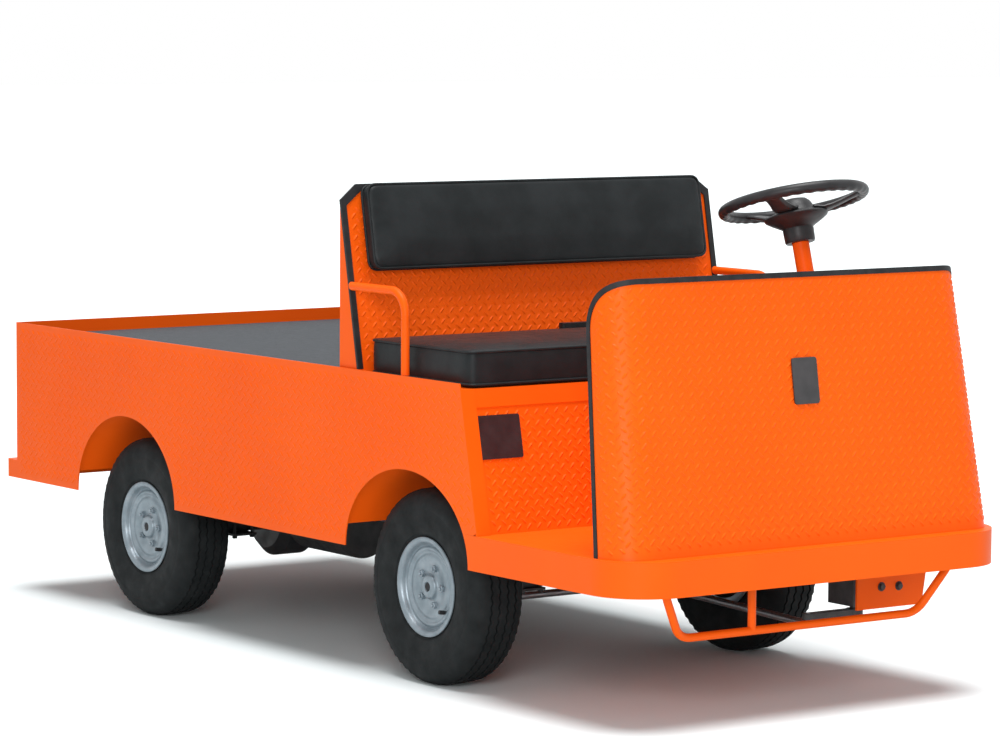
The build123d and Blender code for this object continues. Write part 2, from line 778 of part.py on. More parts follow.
# Knuckles: two ears on a kingpin, a yoke, a spindle and the steering arms
yoke_inner_x = boss_radius + yoke_clearance
ear_low_z = axle_beam_z - boss_half_height - ear_gap - ear_thickness
ear_high_z = axle_beam_z + boss_half_height + ear_gap
for side, name in ((1, "knuckle_left"), (-1, "knuckle_right")):
    pin_x = side * kingpin_x
    with BuildPart() as knuckle:
        for ear_z in (ear_low_z, ear_high_z):
            with BuildSketch(Plane.XY.offset(ear_z)):
                with Locations((pin_x, front_axle_y)):
                    Circle(ear_radius)
                with Locations((pin_x + side * (yoke_inner_x + yoke_wall) / 2, front_axle_y)):
                    Rectangle(yoke_inner_x + yoke_wall, 2 * ear_radius)
            extrude(amount=ear_thickness)
        with BuildSketch(Plane.XY.offset(ear_low_z)):
            with Locations((pin_x + side * (yoke_inner_x + yoke_wall / 2), front_axle_y)):
                Rectangle(yoke_wall, 2 * ear_radius)
        extrude(amount=ear_high_z + ear_thickness - ear_low_z)
        with BuildSketch(Plane.XY.offset(ear_low_z)):
            with Locations((pin_x, front_axle_y)):
                Circle(kingpin_radius)
        extrude(amount=ear_high_z + ear_thickness - ear_low_z)
        with BuildSketch(Plane.YZ.offset(pin_x + side * yoke_inner_x)):
            with Locations((front_axle_y, tyre_radius)):
                Circle(axle_shaft_radius)
        extrude(amount=side * (spindle_reach - yoke_inner_x))
        arm_low_z = steer_arm_z - steer_arm_thickness / 2
        with BuildSketch(Plane.XY.offset(arm_low_z)):
            with Locations((pin_x, front_axle_y)):
                Circle(ear_radius)
            with Locations((pin_x, front_axle_y + tie_arm_length / 2)):
                Rectangle(steer_arm_width, tie_arm_length)
            with Locations((pin_x, front_axle_y + tie_arm_length)):
                Circle(steer_arm_width / 2)
                Circle(stud_radius + stud_clearance, mode=Mode.SUBTRACT)
        extrude(amount=steer_arm_thickness)
        if side > 0:
            with BuildSketch(Plane.XY.offset(arm_low_z)):
                with Locations((pin_x - drag_arm_length / 2, front_axle_y)):
                    Rectangle(drag_arm_length, steer_arm_width)
                with Locations((pin_x - drag_arm_length, front_axle_y)):
                    Circle(steer_arm_width / 2)
                    Circle(stud_radius + stud_clearance, mode=Mode.SUBTRACT)
            extrude(amount=steer_arm_thickness)
    keep(knuckle, name)


def rod_between(start, end):
    """A steering rod between two eyes, each with a stud that points up."""
    length = hypot(end[0] - start[0], end[1] - start[1])
    path = Plane(origin=(start[0], start[1], rod_z), z_dir=(end[0] - start[0], end[1] - start[1], 0))
    with BuildPart() as rod:
        with BuildSketch(path):
            Circle(rod_radius)
        extrude(amount=length)
        with BuildSketch(Plane.XY.offset(rod_z - rod_eye_height / 2)):
            with Locations(start, end):
                Circle(rod_eye_radius)
        extrude(amount=rod_eye_height)
        with BuildSketch(Plane.XY.offset(rod_z)):
            with Locations(start, end):
                Circle(stud_radius)
        extrude(amount=rod_drop + steer_arm_thickness / 2)
    return rod


tie_y = front_axle_y + tie_arm_length
keep(rod_between((-kingpin_x, tie_y), (kingpin_x, tie_y)), "tie_rod")
drag_start = (gear_x - drag_arm_length, gear_y)
drag_end = (kingpin_x - drag_arm_length, front_axle_y)
keep(rod_between(drag_start, drag_end), "drag_link")

# Pitman arm and its shaft
with BuildPart() as pitman:
    arm_low_z = steer_arm_z - steer_arm_thickness / 2
    with BuildSketch(Plane.XY.offset(arm_low_z)):
        with Locations((gear_x, gear_y)):
            Circle(pitman_hub_radius)
        with Locations((gear_x - drag_arm_length / 2, gear_y)):
            Rectangle(drag_arm_length, steer_arm_width)
        with Locations(drag_start):
            Circle(steer_arm_width / 2)
            Circle(stud_radius + stud_clearance, mode=Mode.SUBTRACT)
    extrude(amount=steer_arm_thickness)
    with BuildSketch(Plane.XY.offset(arm_low_z)):
        with Locations((gear_x, gear_y)):
            Circle(sector_shaft_radius)
    extrude(amount=sector_shaft_top_z - arm_low_z)
keep(pitman, "pitman_arm")

# Steering gear housing
with BuildPart() as steering_gear:
    with BuildSketch(Plane.XY.offset(gear_bottom_z)) as gear_plan:
        with Locations((gear_x, gear_y)):
            Rectangle(2 * gear_half_width, 2 * gear_half_length)
        fillet(gear_plan.vertices(), gear_edge)
    extrude(amount=gear_top_z - gear_bottom_z)
    with BuildSketch(Plane.XY.offset(gear_bottom_z)):
        with Locations((gear_x, gear_y)):
            Circle(sector_shaft_radius + stud_clearance)
    extrude(amount=sector_shaft_top_z + ear_gap - gear_bottom_z, mode=Mode.SUBTRACT)
keep(steering_gear, "steering_gear")

# Hanger plate for the steering gear, bolted to the rail
with BuildPart() as gear_bracket:
    rail_outer_x = rail_inner_x + rail_width
    bracket_top_z = deck_top_z - deck_plate
    with BuildSketch(Plane.XZ.offset(-bracket_y)):
        with BuildLine():
            Polyline(
                (rail_outer_x, bracket_top_z),
                (rail_outer_x, bracket_bottom_z),
                (bracket_foot_x, bracket_bottom_z),
                (bracket_outer_x, bracket_top_z),
                close=True,
            )
        make_face()
    extrude(amount=-bracket_thickness)
    side_x = gear_x + gear_half_width
    with BuildSketch(Plane.YZ.offset(side_x)):
        side_middle_y = bracket_y + bracket_side_length / 2
        with Locations((side_middle_y, (bracket_bottom_z + bracket_top_z) / 2)):
            Rectangle(bracket_side_length, bracket_top_z - bracket_bottom_z)
    extrude(amount=bracket_thickness)
keep(gear_bracket, "gear_bracket")

# Steering column
with BuildPart() as column:
    column_length = (steering_wheel_z - gear_top_z) / cos(tilt) - column_top_drop
    with BuildSketch(lean_plane(column_top_drop)):
        Circle(column_radius)
    extrude(amount=-column_length - overrun)
    with BuildSketch(Plane.XY.offset(gear_top_z)):
        with Locations((gear_x, gear_y)):
            Rectangle(4 * gear_half_width, 4 * gear_half_length)
    extrude(amount=-2 * overrun, mode=Mode.SUBTRACT)
keep(column, "steering_column")

# Steering wheel: rim, spokes and a cone hub
with BuildPart() as steering_wheel:
    rim_plane = Plane(origin=lean_plane(0).origin, x_dir=(1, 0, 0), z_dir=(0, -cos(tilt), sin(tilt)))
    with BuildSketch(rim_plane):
        with Locations((steering_wheel_radius, 0)):
            RegularPolygon(steering_rim_radius, steering_rim_sides)
    revolve(axis=Axis(lean_plane(0).origin, lean_plane(0).z_dir))
    with BuildSketch(lean_plane(spoke_thickness / 2)):
        with PolarLocations(0, spoke_count, start_angle=90):
            with Locations((steering_wheel_radius / 2, 0)):
                Rectangle(steering_wheel_radius, spoke_width)
        Circle(hub_cone_top_radius)
    extrude(amount=spoke_thickness)
    with BuildSketch(lean_plane(hub_cone_length)):
        Circle(hub_cone_bottom_radius)
    with BuildSketch(lean_plane(0)):
        Circle(hub_cone_top_radius)
    loft()
    with BuildSketch(lean_plane(hub_cone_length)):
        Circle(hub_cone_bottom_radius)
    extrude(amount=-hub_collar_length)
keep(steering_wheel, "steering_wheel")

# Rear axle: differential, tubes and brake drums
with BuildPart() as rear_axle:
    drum_outer_x = wheel_centre_x + disc_offset - drum_outer_gap
    with BuildSketch(Plane.YZ.offset(diff_x - diff_width / 2)):
        with Locations((rear_axle_y, tyre_radius)):
            Circle(diff_radius)
    extrude(amount=diff_width)
    chamfer(rear_axle.edges().filter_by(GeomType.CIRCLE), diff_edge)
    with BuildSketch(Plane.YZ.offset(-drum_outer_x + drum_width)):
        with Locations((rear_axle_y, tyre_radius)):
            Circle(axle_tube_radius)
    extrude(amount=2 * (drum_outer_x - drum_width))
    for start_x in (drum_outer_x - drum_width, -drum_outer_x):
        with BuildSketch(Plane.YZ.offset(start_x)):
            with Locations((rear_axle_y, tyre_radius)):
                Circle(drum_radius)
        extrude(amount=drum_width)
    axle_end_x = wheel_centre_x + hub_outer_offset - hub_end_thickness - ear_gap
    with BuildSketch(Plane.YZ.offset(-axle_end_x)):
        with Locations((rear_axle_y, tyre_radius)):
            Circle(axle_shaft_radius)
    extrude(amount=2 * axle_end_x)
keep(rear_axle, "rear_axle")

# Drive motor on the differential's front
with BuildPart() as motor:
    motor_z = tyre_radius + motor_z_offset
    neck_rear_y = rear_axle_y - sqrt(diff_radius**2 - (motor_neck_radius + motor_z_offset) ** 2)
    body_rear_y = rear_axle_y - diff_radius - motor_neck_length
    with BuildSketch(Plane.XZ.offset(-body_rear_y)):
        with Locations((diff_x, motor_z)):
            Circle(motor_radius)
    extrude(amount=motor_length)
    chamfer(motor.edges().filter_by(GeomType.CIRCLE), motor_edge)
    with BuildSketch(Plane.XZ.offset(-neck_rear_y)):
        with Locations((diff_x, motor_z)):
            Circle(motor_neck_radius / 2)
    extrude(amount=neck_rear_y - body_rear_y)
    add(rear_axle.part, mode=Mode.SUBTRACT)
keep(motor, "drive_motor")

# Pedals on the deck
with BuildPart() as pedals:
    for place in pedal_places:
        pad_plane = Plane(
            origin=(place, pedal_y, deck_top_z + pedal_lift),
            x_dir=(1, 0, 0),
            z_dir=(0, sin(radians(pedal_lean)), cos(radians(pedal_lean))),
        )
        with BuildSketch(pad_plane):
            Rectangle(pedal_width, pedal_length)
        extrude(amount=pedal_thickness)
        with BuildSketch(Plane.XY.offset(deck_top_z)):
            with Locations((place, pedal_y)):
                Circle(pedal_stem_radius)
        extrude(amount=pedal_lift + pedal_thickness)
keep(pedals, "pedals")


def wheel_rim(side, axle_y):
    """A pressed steel rim with a dished disc, a hub and, on a steered wheel, its bearing tube."""
    middle_x = side * wheel_centre_x
    profile = Plane(origin=(middle_x, axle_y, tyre_radius), x_dir=(side, 0, 0), z_dir=(0, -side, 0))
    flange_inner = rim_half_width - rim_flange_width
    inner_seat = bead_seat_radius - rim_metal
    rise_x = disc_offset - disc_rise
    bore_radius = axle_shaft_radius + stud_clearance
    bore_end = hub_outer_offset - hub_end_thickness
    hub_inner_end = disc_offset - disc_metal
    if axle_y == front_axle_y:
        hub_inner_end = disc_offset - bearing_hub_length
    with BuildPart() as rim:
        with BuildSketch(profile):
            with BuildLine():
                Polyline(
                    (-rim_half_width, inner_seat),
                    (-rim_half_width, rim_flange_radius),
                    (-flange_inner, rim_flange_radius),
                    (-flange_inner, bead_seat_radius),
                    (flange_inner, bead_seat_radius),
                    (flange_inner, rim_flange_radius),
                    (rim_half_width, rim_flange_radius),
                    (rim_half_width, inner_seat),
                    (rise_x + disc_metal, inner_seat),
                    (rise_x + disc_metal, disc_dish_radius + disc_metal),
                    (disc_offset + disc_metal, disc_dish_radius + disc_metal),
                    (disc_offset + disc_metal, hub_radius),
                    (hub_outer_offset, hub_radius),
                    (hub_outer_offset, 0),
                    (bore_end, 0),
                    (bore_end, bore_radius),
                    (hub_inner_end, bore_radius),
                    (hub_inner_end, hub_radius),
                    (disc_offset, hub_radius),
                    (disc_offset, disc_dish_radius),
                    (rise_x, disc_dish_radius),
                    (rise_x, inner_seat),
                    close=True,
                )
            make_face()
        revolve(axis=Axis((middle_x, axle_y, tyre_radius), (1, 0, 0)))
    return rim


def tyre(side, axle_y):
    """A pneumatic tyre's outer shape in flat facets, seated on the rim's bead seats, one facet on the ground."""
    half_section = (
        (tyre_bead_half_width, bead_seat_radius),
        (tyre_half_width, tyre_bulge_radius),
        (tyre_shoulder_half_width, tyre_shoulder_radius),
        (tyre_crown_half_width, tyre_radius),
    )
    section = [(-across, radius) for across, radius in half_section]
    section += reversed(half_section)
    half_facet = radians(180 / tyre_facets)
    facets = []
    for turn in range(tyre_facets):
        ahead = 2 * half_facet * turn
        for near, far in zip(section, section[1:] + section[:1]):
            corners = []
            for (across, radius), angle in (
                (near, ahead - half_facet),
                (far, ahead - half_facet),
                (far, ahead + half_facet),
                (near, ahead + half_facet),
            ):
                reach = radius / cos(half_facet)
                rise = tyre_radius - reach * cos(angle)
                corners.append((side * (wheel_centre_x + across), axle_y + reach * sin(angle), rise))
            facets.append(Face(Wire.make_polygon(corners)))
    with BuildPart() as ring:
        add(Solid(Shell(facets)))
    return ring


for side, axle_y, place in (
    (1, front_axle_y, "front_left"),
    (-1, front_axle_y, "front_right"),
    (1, rear_axle_y, "rear_left"),
    (-1, rear_axle_y, "rear_right"),
):
    keep(wheel_rim(side, axle_y), f"rim_{place}")
    keep(tyre(side, axle_y), f"tyre_{place}")
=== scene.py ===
# The looks of a flatbed electric utility vehicle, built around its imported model.
# Metres, +Z up, the front at -Y and the driver's side (the vehicle's left) at +X.
import json
import math

import bpy
from mathutils import Matrix, Vector


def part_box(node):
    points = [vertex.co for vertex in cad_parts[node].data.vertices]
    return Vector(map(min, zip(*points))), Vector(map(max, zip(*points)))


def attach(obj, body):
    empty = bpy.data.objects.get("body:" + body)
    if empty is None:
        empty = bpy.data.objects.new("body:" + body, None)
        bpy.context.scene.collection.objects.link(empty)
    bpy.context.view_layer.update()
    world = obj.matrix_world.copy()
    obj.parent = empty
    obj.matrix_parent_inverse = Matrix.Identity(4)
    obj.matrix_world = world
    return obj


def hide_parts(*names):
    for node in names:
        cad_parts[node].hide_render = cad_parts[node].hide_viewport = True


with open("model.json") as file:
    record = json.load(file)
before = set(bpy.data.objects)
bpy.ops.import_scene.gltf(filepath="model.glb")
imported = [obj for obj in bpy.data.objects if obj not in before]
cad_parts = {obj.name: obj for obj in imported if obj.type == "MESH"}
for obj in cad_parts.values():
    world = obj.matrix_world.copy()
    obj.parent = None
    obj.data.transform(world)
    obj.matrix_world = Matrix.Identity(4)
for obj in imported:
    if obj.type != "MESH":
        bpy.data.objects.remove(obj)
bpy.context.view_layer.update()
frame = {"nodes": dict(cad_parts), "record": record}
nodes = frame["nodes"]
MM = 0.001

# Places read from the frame
side_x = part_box("side_panel_left")[1].x
body_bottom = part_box("side_panel_left")[0].z
body_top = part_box("side_panel_left")[1].z
panel_rear_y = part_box("side_panel_left")[1].y
side_front_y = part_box("side_panel_left")[0].y
deck_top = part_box("front_deck")[1].z
riser_foot_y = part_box("seat_box")[0].y
seat_plate_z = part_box("seat_box")[1].z
wheel_places = {
    place: (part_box(f"tyre_{place}")[0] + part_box(f"tyre_{place}")[1]) / 2
    for place in ("front_left", "front_right", "rear_left", "rear_right")
}

# Sizes of the body that the frame's boxes don't say
RISER_SLOPE = 70 / 340
RISER_LIP = 42 * MM
RETURN_WIDTH = 40 * MM
ARCHES = (("front_left", 252 * MM, 204 * MM), ("rear_left", 246 * MM, 216 * MM))
SEAT_BACK_FOOT = Vector((0, -321 * MM, seat_plate_z))
SEAT_BACK_RISE = Vector((0, 85 * MM, 441 * MM)).normalized()
SEAT_BACK_HALF_WIDTH = 549 * MM
SEAT_BACK_TRIM = 14 * MM
SEAT_BACK_CUT_CORNER = 50 * MM
COLUMN_LEAN = math.radians(16)

# Tread plate
LUG_PITCH = 28 * MM
LUG_ROW = 13 * MM
LUG_LEAN = math.radians(45)
LUG_HALF_LENGTH = 10.5 * MM
LUG_SHOULDER = 5 * MM
LUG_HALF_WIDTH = 3.8 * MM
LUG_HEIGHT = 1.9 * MM
LUG_SUNK = 0.3 * MM
LUG_MARGIN = 2 * MM
LUG_SHARP = 50  # degrees
LUGS_UNDER_PAD = 10 * MM
LUGS_BESIDE_PAD = 6 * MM


class Soup:
    """Points and faces of many forms, gathered into one mesh."""

    def __init__(self):
        self.points = []
        self.faces = []

    def add(self, points, faces):
        start = len(self.points)
        self.points += [tuple(p) for p in points]
        self.faces += [[start + i for i in face] for face in faces]

    def piece(self, name, finish, body, sharp_degrees):
        mesh = bpy.data.meshes.new(name)
        mesh.from_pydata(self.points, [], self.faces)
        mesh.materials.append(finish)
        mesh.shade_smooth()
        mesh.set_sharp_from_angle(angle=math.radians(sharp_degrees))
        made = bpy.data.objects.new(name, mesh)
        bpy.context.scene.collection.objects.link(made)
        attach(made, body)
        return made


# Finishes

class Finish:
    """One material, with short calls for the nodes that the finishes share."""

    def __init__(self, slot, name, roughness, metallic=0.0, **values):
        self.material = bpy.data.materials.new(name)
        self.material.use_nodes = True
        self.material["slot"] = slot
        self.tree = self.material.node_tree
        self.shader = self.tree.nodes["Principled BSDF"]
        self.shader.inputs["Roughness"].default_value = roughness
        self.shader.inputs["Metallic"].default_value = metallic
        for socket, value in values.items():
            self.shader.inputs[socket.replace("_", " ")].default_value = value
        self.place = self.node("ShaderNodeTexCoord").outputs["Object"]

    def node(self, kind, inputs=None):
        made = self.tree.nodes.new(kind)
        for socket, value in (inputs or {}).items():
            if isinstance(value, bpy.types.NodeSocket):
                self.tree.links.new(value, made.inputs[socket])
            else:
                made.inputs[socket].default_value = value
        return made

    def noise(self, scale, detail=3.0, stretch=(1, 1, 1), roughness=0.55):
        place = self.node("ShaderNodeMapping", {"Vector": self.place, "Scale": stretch}).outputs[0]
        made = self.node("ShaderNodeTexNoise", {
            "Vector": place, "Scale": scale, "Detail": detail, "Roughness": roughness})
        return made.outputs["Fac"]

    def cells(self, scale):
        made = self.node("ShaderNodeTexVoronoi", {"Vector": self.place, "Scale": scale})
        return made.outputs["Distance"]

    def ramp(self, value, low, high, start, end):
        made = self.node("ShaderNodeMapRange", {
            "Value": value, "From Min": low, "From Max": high, "To Min": start, "To Max": end})
        return made.outputs["Result"]

    def colours(self, value, *stops):
        made = self.node("ShaderNodeValToRGB", {"Fac": value})
        ramp = made.color_ramp
        while len(ramp.elements) < len(stops):
            ramp.elements.new(0.5)
        for element, (place, colour) in zip(ramp.elements, stops):
            element.position = place
            element.color = (*colour, 1)
        self.tree.links.new(made.outputs["Color"], self.shader.inputs["Base Color"])

    def rough(self, value):
        self.tree.links.new(value, self.shader.inputs["Roughness"])

    def bump(self, *layers):
        """Bump from (height, depth in metres) layers, one on top of the other."""
        normal = None
        for height, depth in layers:
            inputs = {"Height": height, "Distance": depth, "Strength": 1.0}
            if normal is not None:
                inputs["Normal"] = normal
            normal = self.node("ShaderNodeBump", inputs).outputs["Normal"]
        self.tree.links.new(normal, self.shader.inputs["Normal"])


def orange_paint():
    finish = Finish("body_paint", "orange_powder_coat", 0.38, Specular_IOR_Level=0.1)
    finish.colours(
        finish.noise(2.2, 4),
        (0.3, (0.88, 0.102, 0.0035)),
        (0.5, (0.91, 0.111, 0.004)),
        (0.75, (0.94, 0.121, 0.0045)),
    )
    finish.rough(finish.ramp(finish.noise(9, 5), 0.3, 0.7, 0.34, 0.44))
    finish.bump((finish.noise(420, 2), 0.00010), (finish.noise(14, 2), 0.0006))
    return finish.material


def black_paint():
    finish = Finish("chassis_paint", "satin_black_frame_paint", 0.5)
    finish.colours(
        finish.noise(16, 6),
        (0.35, (0.020, 0.020, 0.022)),
        (0.55, (0.032, 0.032, 0.034)),
        (0.8, (0.060, 0.056, 0.050)),
    )
    finish.rough(finish.ramp(finish.noise(22, 5), 0.3, 0.7, 0.42, 0.68))
    finish.bump((finish.noise(350, 3), 0.00015))
    return finish.material


def bed_coating():
    finish = Finish("bed_coating", "sprayed_bed_coating", 0.85)
    finish.colours(
        finish.noise(60, 8, roughness=0.7),
        (0.3, (0.026, 0.031, 0.036)),
        (0.5, (0.037, 0.043, 0.050)),
        (0.75, (0.056, 0.064, 0.073)),
    )
    finish.bump((finish.cells(260), 0.0008), (finish.noise(700, 4), 0.0004))
    return finish.material


def vinyl():
    finish = Finish("vinyl", "black_upholstery_vinyl", 0.44, Specular_IOR_Level=0.13)
    finish.colours(
        finish.noise(12, 4),
        (0.35, (0.014, 0.0165, 0.0175)),
        (0.65, (0.021, 0.0245, 0.026)),
    )
    finish.rough(finish.ramp(finish.noise(30, 4), 0.3, 0.7, 0.34, 0.48))
    finish.bump((finish.noise(18, 3), 0.0012), (finish.cells(620), 0.00016), (finish.noise(1500, 2), 0.00004))
    return finish.material


def trim_rubber():
    finish = Finish("edge_trim", "push_on_edge_trim", 0.5, Specular_IOR_Level=0.2)
    finish.colours(finish.noise(40, 3), (0.3, (0.012, 0.012, 0.013)), (0.7, (0.024, 0.024, 0.026)))
    finish.bump((finish.noise(600, 2), 0.00012))
    return finish.material


def rim_paint():
    finish = Finish("rim_paint", "silver_wheel_paint", 0.34, 0.5)
    finish.colours(
        finish.noise(26, 6),
        (0.3, (0.19, 0.235, 0.265)),
        (0.55, (0.255, 0.305, 0.34)),
        (0.8, (0.33, 0.38, 0.415)),
    )
    finish.rough(finish.ramp(finish.noise(60, 4), 0.3, 0.7, 0.28, 0.48))
    finish.bump((finish.noise(900, 2), 0.00006))
    return finish.material


def tyre_rubber():
    finish = Finish("tyre_rubber", "tyre_rubber", 0.75, Specular_IOR_Level=0.2)
    finish.colours(
        finish.noise(20, 6),
        (0.3, (0.0065, 0.008, 0.0085)),
        (0.6, (0.012, 0.0142, 0.015)),
        (0.85, (0.024, 0.026, 0.0265)),
    )
    finish.rough(finish.ramp(finish.noise(28, 5), 0.3, 0.7, 0.62, 0.85))
    finish.bump((finish.noise(420, 4), 0.00022), (finish.noise(45, 3), 0.0006))
    return finish.material


def moulded_black(slot, name, rough_low, rough_high):
    finish = Finish(slot, name, rough_low, Specular_IOR_Level=0.3)
    finish.colours(finish.noise(30, 4), (0.3, (0.014, 0.014, 0.015)), (0.7, (0.026, 0.026, 0.028)))
    finish.rough(finish.ramp(finish.noise(40, 4), 0.3, 0.7, rough_low, rough_high))
    finish.bump((finish.noise(900, 2), 0.00008))
    return finish.material


def cast_metal():
    finish = Finish("cast_metal", "painted_casting", 0.55, 0.3)
    finish.colours(
        finish.noise(24, 6),
        (0.3, (0.030, 0.030, 0.032)),
        (0.6, (0.055, 0.054, 0.054)),
        (0.85, (0.095, 0.085, 0.075)),
    )
    finish.rough(finish.ramp(finish.noise(30, 5), 0.3, 0.7, 0.45, 0.7))
    finish.bump((finish.noise(260, 4), 0.0004))
    return finish.material


def rod_steel():
    finish = Finish("rod_steel", "turned_steel", 0.34, 0.9)
    finish.colours(
        finish.noise(40, 5, stretch=(1, 6, 6)),
        (0.3, (0.28, 0.28, 0.29)),
        (0.7, (0.42, 0.42, 0.43)),
    )
    finish.rough(finish.ramp(finish.noise(50, 5), 0.3, 0.7, 0.28, 0.5))
    finish.bump((finish.noise(500, 2), 0.00005))
    return finish.material


def dark_plate():
    finish = Finish("wheel_plastic", "dark_blank_plate", 0.3, Coat_Weight=0.3)
    finish.colours(finish.noise(26, 3), (0.3, (0.016, 0.015, 0.016)), (0.7, (0.034, 0.030, 0.032)))
    finish.bump((finish.noise(800, 2), 0.00004))
    return finish.material


FINISHES = {
    "body_paint": orange_paint(),
    "chassis_paint": black_paint(),
    "bed_coating": bed_coating(),
    "vinyl": vinyl(),
    "edge_trim": trim_rubber(),
    "rim_paint": rim_paint(),
    "tyre_rubber": tyre_rubber(),
    "wheel_plastic": moulded_black("wheel_plastic", "moulded_wheel_plastic", 0.32, 0.48),
    "battery_case": moulded_black("battery_case", "battery_case_plastic", 0.45, 0.65),
    "cast_metal": cast_metal(),
    "rod_steel": rod_steel(),
    "pedal_rubber": moulded_black("pedal_rubber", "ribbed_pedal_rubber", 0.6, 0.8),
}
PLATE = dark_plate()


def dress_nodes():
    """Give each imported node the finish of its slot."""
    for part in frame["record"]["subparts"]:
        for slot in nodes[part["node"]].material_slots:
            slot.material = FINISHES[part["material_slot"]]


# Tread plate lugs

LUG_CORNERS = (
    (LUG_HALF_LENGTH, 0, -LUG_SUNK),
    (LUG_SHOULDER, LUG_HALF_WIDTH, -LUG_SUNK),
    (-LUG_SHOULDER, LUG_HALF_WIDTH, -LUG_SUNK),
    (-LUG_HALF_LENGTH, 0, -LUG_SUNK),
    (-LUG_SHOULDER, -LUG_HALF_WIDTH, -LUG_SUNK),
    (LUG_SHOULDER, -LUG_HALF_WIDTH, -LUG_SUNK),
    (LUG_SHOULDER, 0, LUG_HEIGHT),
    (-LUG_SHOULDER, 0, LUG_HEIGHT),
)
LUG_FACES = ((1, 2, 7, 6), (4, 5, 6, 7), (0, 1, 6), (0, 6, 5), (3, 7, 2), (3, 4, 7), (0, 5, 4, 3, 2, 1))


def add_lugs(soup, place, inside, across, along):
    """Lozenges on a staggered lattice over a sheet, each row leaning the other way from the last."""
    for row in range(math.ceil(along[0] / LUG_ROW), math.floor(along[1] / LUG_ROW) + 1):
        shift = LUG_PITCH / 2 if row % 2 else 0
        lean = LUG_LEAN if row % 2 else -LUG_LEAN
        for column in range(math.floor(across[0] / LUG_PITCH), math.ceil(across[1] / LUG_PITCH) + 1):
            corners = []
            for reach, width, rise in LUG_CORNERS:
                u = column * LUG_PITCH + shift + reach * math.cos(lean) - width * math.sin(lean)
                v = row * LUG_ROW + reach * math.sin(lean) + width * math.cos(lean)
                corners.append((u, v, rise))
            if all(inside(u, v) for u, v, _ in corners):
                soup.add([place(*corner) for corner in corners], LUG_FACES)


def riser_lugs():
    rise = Vector((0, RISER_SLOPE, 1)).normalized()
    foot = Vector((0, riser_foot_y, deck_top))
    outward = Vector((1, 0, 0)).cross(rise)
    half = side_x - RETURN_WIDTH - LUG_MARGIN
    top = (seat_plate_z - RISER_LIP - deck_top) / rise.z - LUG_MARGIN
    soup = Soup()
    add_lugs(
        soup,
        lambda u, v, h: foot + Vector((u, 0, 0)) + rise * v + outward * h,
        lambda u, v: abs(u) < half and LUG_MARGIN < v < top,
        (-half, half),
        (0, top),
    )
    soup.piece("riser_tread_lugs", FINISHES["body_paint"], "chassis", LUG_SHARP)


def on_side_panel(y, z):
    """Whether a spot lies on the body side, clear of its edges and wheel arches."""
    front = side_front_y + RISER_SLOPE * (z - deck_top) + LUG_MARGIN
    foot = deck_top if y < wheel_places["front_left"].y else body_bottom
    if not (front < y < panel_rear_y - LUG_MARGIN and foot + LUG_MARGIN < z < body_top - LUG_MARGIN):
        return False
    for place, half_length, height in ARCHES:
        ahead = (y - wheel_places[place].y) / (half_length + LUG_MARGIN)
        above = (z - body_bottom) / (height + LUG_MARGIN)
        if ahead**2 + above**2 < 1:
            return False
    return True


def side_lugs(side, name):
    soup = Soup()
    spans = (side_front_y, panel_rear_y) if side > 0 else (-panel_rear_y, -side_front_y)
    add_lugs(
        soup,
        lambda u, v, h: Vector((side * (side_x + h), side * u, v)),
        lambda u, v: on_side_panel(side * u, v),
        spans,
        (body_bottom, body_top),
    )
    soup.piece(name, FINISHES["body_paint"], "chassis", LUG_SHARP)


def seat_back_lugs():
    outward = Vector((1, 0, 0)).cross(SEAT_BACK_RISE)
    half = SEAT_BACK_HALF_WIDTH - SEAT_BACK_TRIM
    pad_low, pad_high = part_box("backrest_cushion")
    low = (body_top - seat_plate_z) / SEAT_BACK_RISE.z
    pad_start = (pad_low.z + LUGS_UNDER_PAD - seat_plate_z) / SEAT_BACK_RISE.z
    top = (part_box("seat_back_panel")[1].z - SEAT_BACK_CUT_CORNER - seat_plate_z) / SEAT_BACK_RISE.z

    def inside(u, v):
        beside = abs(u) > pad_high.x - LUGS_BESIDE_PAD
        return abs(u) < half and low < v < top and (v < pad_start or beside)

    soup = Soup()
    add_lugs(
        soup,
        lambda u, v, h: SEAT_BACK_FOOT + Vector((u, 0, 0)) + SEAT_BACK_RISE * v + outward * h,
        inside,
        (-half, half),
        (low, top),
    )
    soup.piece("seat_back_tread_lugs", FINISHES["body_paint"], "chassis", LUG_SHARP)


# The cowl's bent sheet: each corner is a cylinder along the line that it leans back on
COWL_BASE = Vector((547 * MM, -1343 * MM, deck_top))
COWL_TOP = Vector((509 * MM, -1251 * MM, 984 * MM))
COWL_CORNER_RADIUS = 89 * MM
COWL_WING_DEPTH = 98 * MM
COWL_CURVE_START = Vector((0, -1170 * MM, 872 * MM))
COWL_TRIM = 11 * MM
COWL_FOOT_MARGIN = 6 * MM
cowl_lean = (COWL_TOP - COWL_BASE).normalized()
cowl_across = (Vector((1, 0, 0)) - cowl_lean * cowl_lean.x).normalized()
cowl_inward = cowl_lean.cross(cowl_across)
cowl_wing = Vector((cowl_across.y, cowl_inward.y)).normalized()
cowl_turn = math.atan2(cowl_wing.y, cowl_wing.x)
cowl_tangent = COWL_CORNER_RADIUS * math.tan(cowl_turn / 2)
cowl_rise = Vector((0, cowl_lean.y, cowl_lean.z)).normalized()


